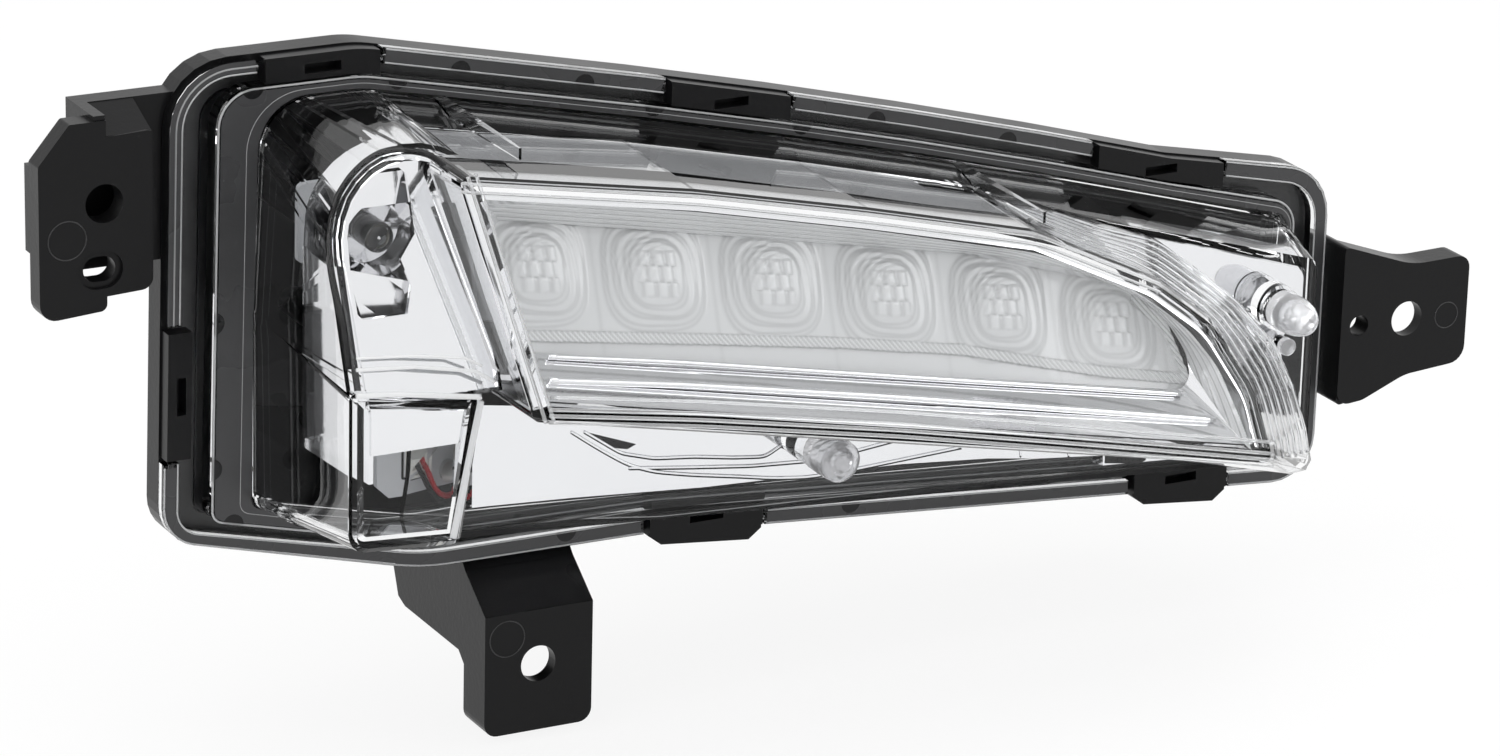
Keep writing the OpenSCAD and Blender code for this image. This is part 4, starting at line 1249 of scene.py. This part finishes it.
@dataclass
class FrameFacets:
    """Ridges, folds and sheets of the mirror frame, with painted shade under the folds, on the
    top-wall gap and along the window's top, and a painted dark reflection along the arch.
    """

    plate_y: float = -7.78
    fold_r: float = 0.28
    fold_flat: float = 0.4
    fold_shade: Triple = (0.0, 0.02, -0.45)
    fold_shade_r: float = 0.13
    fold_shade_flat: float = 0.8
    floor_v: tuple[float, float] = (2.4, 9.0)
    floor_lift: float = 0.1
    window_foot: Path = ((-2.0, 6.0), (34.0, -0.6), (81.0, -10.4), (131.0, -22.0), (172.0, -31.8))
    panel_foot: Path = (
        (4.6, 16.0), (36.0, 9.8), (72.0, 1.9), (106.0, -5.5), (140.0, -12.7), (161.0, -17.2))
    steps: Path = ((0.5, 0.75), (0.93, 0.6))
    folds: tuple[Path, ...] = (
        ((98.9, -59.4), (105.0, -63.9), (112.0, -68.6), (118.2, -71.1), (127.6, -73.2),
         (138.6, -75.2), (146.5, -76.8), (154.5, -77.8), (162.4, -77.9), (178.5, -77.2),
         (192.0, -76.6)),
        ((101.9, -59.8), (110.4, -65.8), (118.2, -68.1), (127.5, -69.1), (136.9, -70.7),
         (144.4, -71.6), (151.0, -68.2)),
        ((112.4, -69.4), (127.0, -71.4), (141.0, -73.2), (158.0, -74.4), (176.0, -72.6)),
        ((206.8, -76.5), (206.8, -80.8)), ((218.9, -79.0), (218.9, -82.6)))
    patches: tuple[Path, ...] = (
        ((102.7, -60.2), (108.0, -62.2), (113.9, -64.4), (111.9, -65.2), (107.6, -64.2)),
        ((228.2, -84.0), (228.2, -85.8), (236.8, -87.1), (238.5, -86.6), (238.5, -85.4)),
        ((271.4, -63.6), (273.6, -72.0), (276.2, -84.0), (277.3, -89.5), (277.3, -59.0)))
    brow_near: Path = (
        (-7.5, 48.6), (41.0, 38.6), (81.0, 29.0), (120.0, 18.5), (140.0, 9.5), (149.0, 2.8),
        (156.0, -3.4), (162.2, -12.2), (167.0, -26.5), (168.2, -31.5))
    brow_far: Path = (
        (-1.3, 43.6), (54.0, 32.0), (108.0, 20.4), (132.0, 13.8), (149.0, 6.6), (157.6, -1.9),
        (161.2, -8.6), (162.6, -15.0), (163.2, -17.5))
    brow_grid: tuple[int, int] = (200, 41)
    brow_v: tuple[float, float] = (2.2, 9.8)
    brow_ribs: float = 4.5
    brow_rib_h: float = 0.16
    brow_tone: Triple = (1.04, 0.5, 0.06)
    brow_line: float = 0.22
    shelf_x: tuple[float, float] = (60.0, 213.0)
    shelf_front: float = 2.6
    shelf_back: float = -5.6
    shelf_rows: int = 24
    shelf_lift: float = 0.22
    gap_line: Path = (
        (60.0, -31.0), (84.6, -30.0), (130.0, -30.4), (170.6, -30.8), (180.2, -30.0),
        (190.9, -29.4), (200.3, -26.4))
    gap_w: tuple[float, float] = (8.2, 3.6)
    gap_cols: int = 6
    gap_lift: float = 0.45
    arch: Path3 = (
        (59.2, -34.0, 9.0), (57.6, -27.0, 11.0), (52.3, -24.6, 11.7), (47.6, -24.2, 11.2),
        (42.6, -25.4, 8.9), (38.4, -26.8, 5.2), (35.9, -28.6, 0.9), (34.7, -30.4, -3.6),
        (34.3, -32.7, -9.2), (34.6, -34.9, -13.9), (34.8, -37.0, -18.7), (34.6, -40.0, -26.5))
    arch_r: float = 0.66
    arch_facing: Triple = (-0.6, -0.7, 0.3)
    window_top: Path = (
        (58.5, 9.4), (80.0, 5.4), (110.0, -0.1), (150.0, -9.3), (178.0, -16.4), (196.0, -22.3))
    seam_r: float = 0.36
    seam_sink: float = 1.6
    seam_drop: float = -0.2
    seam_facing: Triple = (0.0, -0.1, 1.0)
    facet_thick: float = 0.4
    facet_spots: Path3 = (
        (41.2, -24.8, -11.7), (48.0, -26.6, -13.4), (55.3, -29.3, -15.0), (41.8, -26.5, -17.2),
        (48.6, -28.9, -18.1), (55.1, -30.2, -19.0), (42.9, -28.3, -22.3), (48.6, -29.8, -23.0),
        (54.8, -32.2, -23.9))

    def on_funnel(self, share: float) -> Grid:
        """Lays a line on the funnel's floor, ruled from the window's foot to the panel's.

        Args:
            share: 0 at the window and 1 at the panel.

        Returns:
            The points.
        """
        near, far = curve(self.window_foot, FINE, 5), curve(self.panel_foot, FINE, 5)
        u, w = rule(near, far, np.array([share]))[2:-2, 0].T
        start, run = self.floor_v
        return PLANE.place(u, np.full_like(u, start + share * run), w + self.floor_lift)

    def build(self) -> None:
        """Makes the ridges, folds, painted shade and reflection lines, brow, shelf and facets."""
        ridges = [tube(self.on_funnel(share), radius, PLANE.outward, sides=12)
                  for share, radius in self.steps]
        put_mesh("funnel_steps", join(ridges), "mirror_coat")
        lines = [np.insert(curve(path, 60, 2), 1, self.plate_y, axis=1) for path in self.folds]
        folds = [tube(line, self.fold_r, FORWARD, flat=self.fold_flat) for line in lines]
        put_mesh("apron_folds", join(folds), "mirror_coat")
        # Painted shade: a dark line just under each fold, then black plates laid on the frame's
        # plate.
        shades = [tube(line + self.fold_shade, self.fold_shade_r, FORWARD, flat=self.fold_shade_flat)
                  for line in lines]
        shades += [plate(np.array(corners), self.plate_y) for corners in self.patches]
        put_mesh("apron_gaps", join(shades), "dark_line", smooth=False)
        # Painted shadow along the gap at the window's top, and a painted dark reflection of the
        # black shell in the arch's rounded edge.
        seam = PLANE.on(curve(self.window_top, FINE, 5), self.seam_sink, self.seam_drop)
        gaps = [tube(curve(self.arch, FINE, 8), self.arch_r, np.array(self.arch_facing), sides=10),
                tube(seam, self.seam_r, np.array(self.seam_facing))]
        put_mesh("shadow_gaps", join(gaps), "dark_line")
        self.band()
        self.brow()
        self.shelf()
        self.facets()

    def band(self) -> None:
        """Lays a black sheet of painted shade on the gap in the frame's top wall: a line widened to
        both sides along Y.
        """
        line = curve(self.gap_line, FINE, 4)
        wide = np.linspace(*self.gap_w, FINE)[:, None] * np.linspace(-0.5, 0.5, self.gap_cols)
        x = np.repeat(line[:, :1], self.gap_cols, axis=1)
        across = np.stack([x, line[:, 1:] + wide], axis=-1)
        # Painted shade: the black sheet draped from above over the gap.
        sheet = Skin("bezel").drape(across, self.gap_lift, from_above=True)
        put_mesh("gap_band", sheet, "painted_shade_black")

    def brow(self) -> None:
        """Makes the white brow over the panel, ruled between two paths and waved into ribs, with
        painted shade in the troughs.
        """
        rows, cols = self.brow_grid
        t = np.linspace(0, 1, cols)
        flat = rule(curve(self.brow_near, rows, 8), curve(self.brow_far, rows, 8), t)
        wave = np.sin(2 * np.pi * self.brow_ribs * t) * np.ones((rows, 1))
        start, run = self.brow_v
        front = PLANE.place(flat[..., 0], start + run * t - self.brow_rib_h * wave, flat[..., 1])
        quads = [quad[::-1] for quad in strip_faces(rows, cols)]
        obj = put_mesh("funnel_brow", (front.reshape(-1, 3), quads), "cell_optic")
        # Painted shade: dark lines in the rib troughs, crests a little darker than the flanks.
        high, dark, slope = self.brow_tone
        trough = np.exp(-(((wave + 1.0) / self.brow_line) ** 2))
        keep_shade(obj, high - dark * trough - slope * (1 + wave))

    def shelf(self) -> None:
        """Lays a smooth pale sheet on the frame's top wall, from the window back."""
        x = np.linspace(*self.shelf_x, FINE)
        z = np.interp(x, *np.array(self.window_top).T)
        near = (PLANE.depth_at(x, z) + self.shelf_front)[:, None]
        y = near + np.linspace(0, 1, self.shelf_rows) * (self.shelf_back - near)
        across = np.stack([np.broadcast_to(x[:, None], y.shape), y], axis=-1)
        sheet = Skin("bezel").drape(across, self.shelf_lift, from_above=True)
        put_mesh("frame_shelf", sheet, "pale_shelf")

    def facets(self) -> None:
        """Makes the tilted silver plate under the side cup: three by three corners, closed."""
        front = np.array(strip_faces(3, 3))
        spots = np.array(self.facet_spots)
        both = np.vstack([spots, spots + np.array([0.0, self.facet_thick, 0.0])])
        edge = np.array([0, 1, 2, 5, 8, 7, 6, 3])
        ahead = np.roll(edge, -1)
        walls = np.stack([edge, ahead, ahead + 9, edge + 9], axis=1)
        faces = np.vstack([front, front[:, ::-1] + 9, walls]).tolist()
        put_mesh("cup_facets", (both, faces), "facet_silver", smooth=False)


@dataclass
class CoverEdges:
    """Milky rods that paint the highlights on the wall edges of the box and arch, and frosted
    sleeves on the pins and the guide.
    """

    edges: tuple[Path3, ...] = (
        ((61.2, -43.9, -35.6), (58.4, -43.9, -49.0), (55.4, -43.9, -63.4)),
        ((34.2, -44.6, -25.1), (46.8, -44.6, -26.2), (59.6, -44.6, -28.9), (63.9, -44.6, -31.7)),
        ((34.2, -44.6, -22.7), (46.7, -44.6, -23.9), (57.3, -44.6, -25.8), (61.1, -44.6, -28.0)),
        ((33.9, -45.3, -30.2), (42.3, -45.3, -31.0), (60.5, -45.3, -34.2)))
    edge_r: tuple[float, ...] = (0.8, 0.4, 0.3, 0.55)
    edge_facing: Triple = (0.0, -1.0, 0.2)
    sides: int = 40
    sleeves: tuple[tuple[Triple, Path], ...] = (
        ((267.5, -12.0, -53.8),
         ((4.35, 3.0), (4.35, 8.2), (3.9, 10.8), (3.0, 13.0), (1.5, 14.1), (0.03, 14.3))),
        ((151.7, -10.0, -67.4),
         ((4.65, 10.0), (4.65, 16.4), (4.3, 17.7), (2.6, 18.4), (2.4, 19.1), (0.03, 19.3))),
        ((270.4, -12.0, -63.4), ((1.95, 0.2), (1.95, 1.9), (1.2, 2.2), (0.03, 2.25))))
    guide: tuple[Triple, Path] = (
        (49.6, -9.0, -7.4), ((3.16, 0.0), (3.16, 11.6), (2.8, 12.15), (1.6, 12.3), (0.03, 12.3)))

    def turned(self, at: Triple, profile: Path) -> Mesh:
        """Turns a profile about an axis along -Y: point = at + r * (cos, 0, sin) - h * Y.

        Args:
            at: Foot of the axis.
            profile: Radius and height of each step.

        Returns:
            Corners and faces, ends closed.
        """
        steps = curve(profile, self.sides)
        angle = np.linspace(0, 2 * np.pi, self.sides, endpoint=False)
        r, h = steps[:, :1], steps[:, 1:]
        points = np.stack([at[0] + r * np.cos(angle), at[1] - h + 0 * angle,
                           at[2] + r * np.sin(angle)], axis=-1)
        last = (len(steps) - 1) * self.sides
        faces = [quad[::-1] for quad in strip_faces(len(steps), self.sides, loop=True)]
        faces += [[last + k for k in range(self.sides)], list(range(self.sides - 1, -1, -1))]
        return points.reshape(-1, 3), faces

    def build(self) -> None:
        """Makes the edges and sleeves."""
        # Painted highlights: milky rods along the box's and arch's wall edges.
        rods = [tube(resample(np.array(path), 40), radius, np.array(self.edge_facing), sides=12)
                for path, radius in zip(self.edges, self.edge_r)]
        sleeves = [self.turned(*sleeve) for sleeve in self.sleeves]
        put_mesh("cover_wall_edges", join(rods), "wall_edge_highlight")
        put_mesh("guide_sleeve", self.turned(*self.guide), "guide_frost")
        put_mesh("pin_sleeves", join(sleeves), "frosted_pin")


@dataclass
class BoardMarks:
    """A plain printed line round the connector on the driver board, and a painted shadow line along
    the connector's lower and right edges.
    """

    board_y: float = 1.93
    line: Path = ((72.3, -62.3), (72.3, -61.2), (65.2, -60.4), (65.2, -67.9), (67.0, -68.3))
    line_size: tuple[float, float] = (0.26, 0.16)
    # Painted shadow: a dark line under the connector's lower and right edges.
    under: Path = ((66.2, -68.6), (72.3, -68.6), (72.3, -62.4))
    under_size: tuple[float, float] = (0.34, 0.12)

    def build(self) -> None:
        """Makes each line as a flat ribbon."""
        marks = []
        for corners, count, (radius, flat) in ((self.line, 80, self.line_size),
                                               (self.under, 40, self.under_size)):
            path = np.insert(resample(np.array(corners), count), 1, self.board_y, axis=1)
            marks.append(tube(path, radius, FORWARD, sides=6, flat=flat))
        put_mesh("board_line", join(marks), "dark_line")


def main() -> None:
    """Builds the studio, the finishes and the fine pieces in order."""
    logging.basicConfig(level=logging.INFO, format="%(message)s")
    Studio().build()
    WARDROBE.dress_nodes()
    for group in (CellPanel(), WindowLines(), EarMarks(), RimBeads(), FrameFacets(), CoverEdges(),
                  BoardMarks()):
        group.build()


if __name__ == "__main__":
    main()
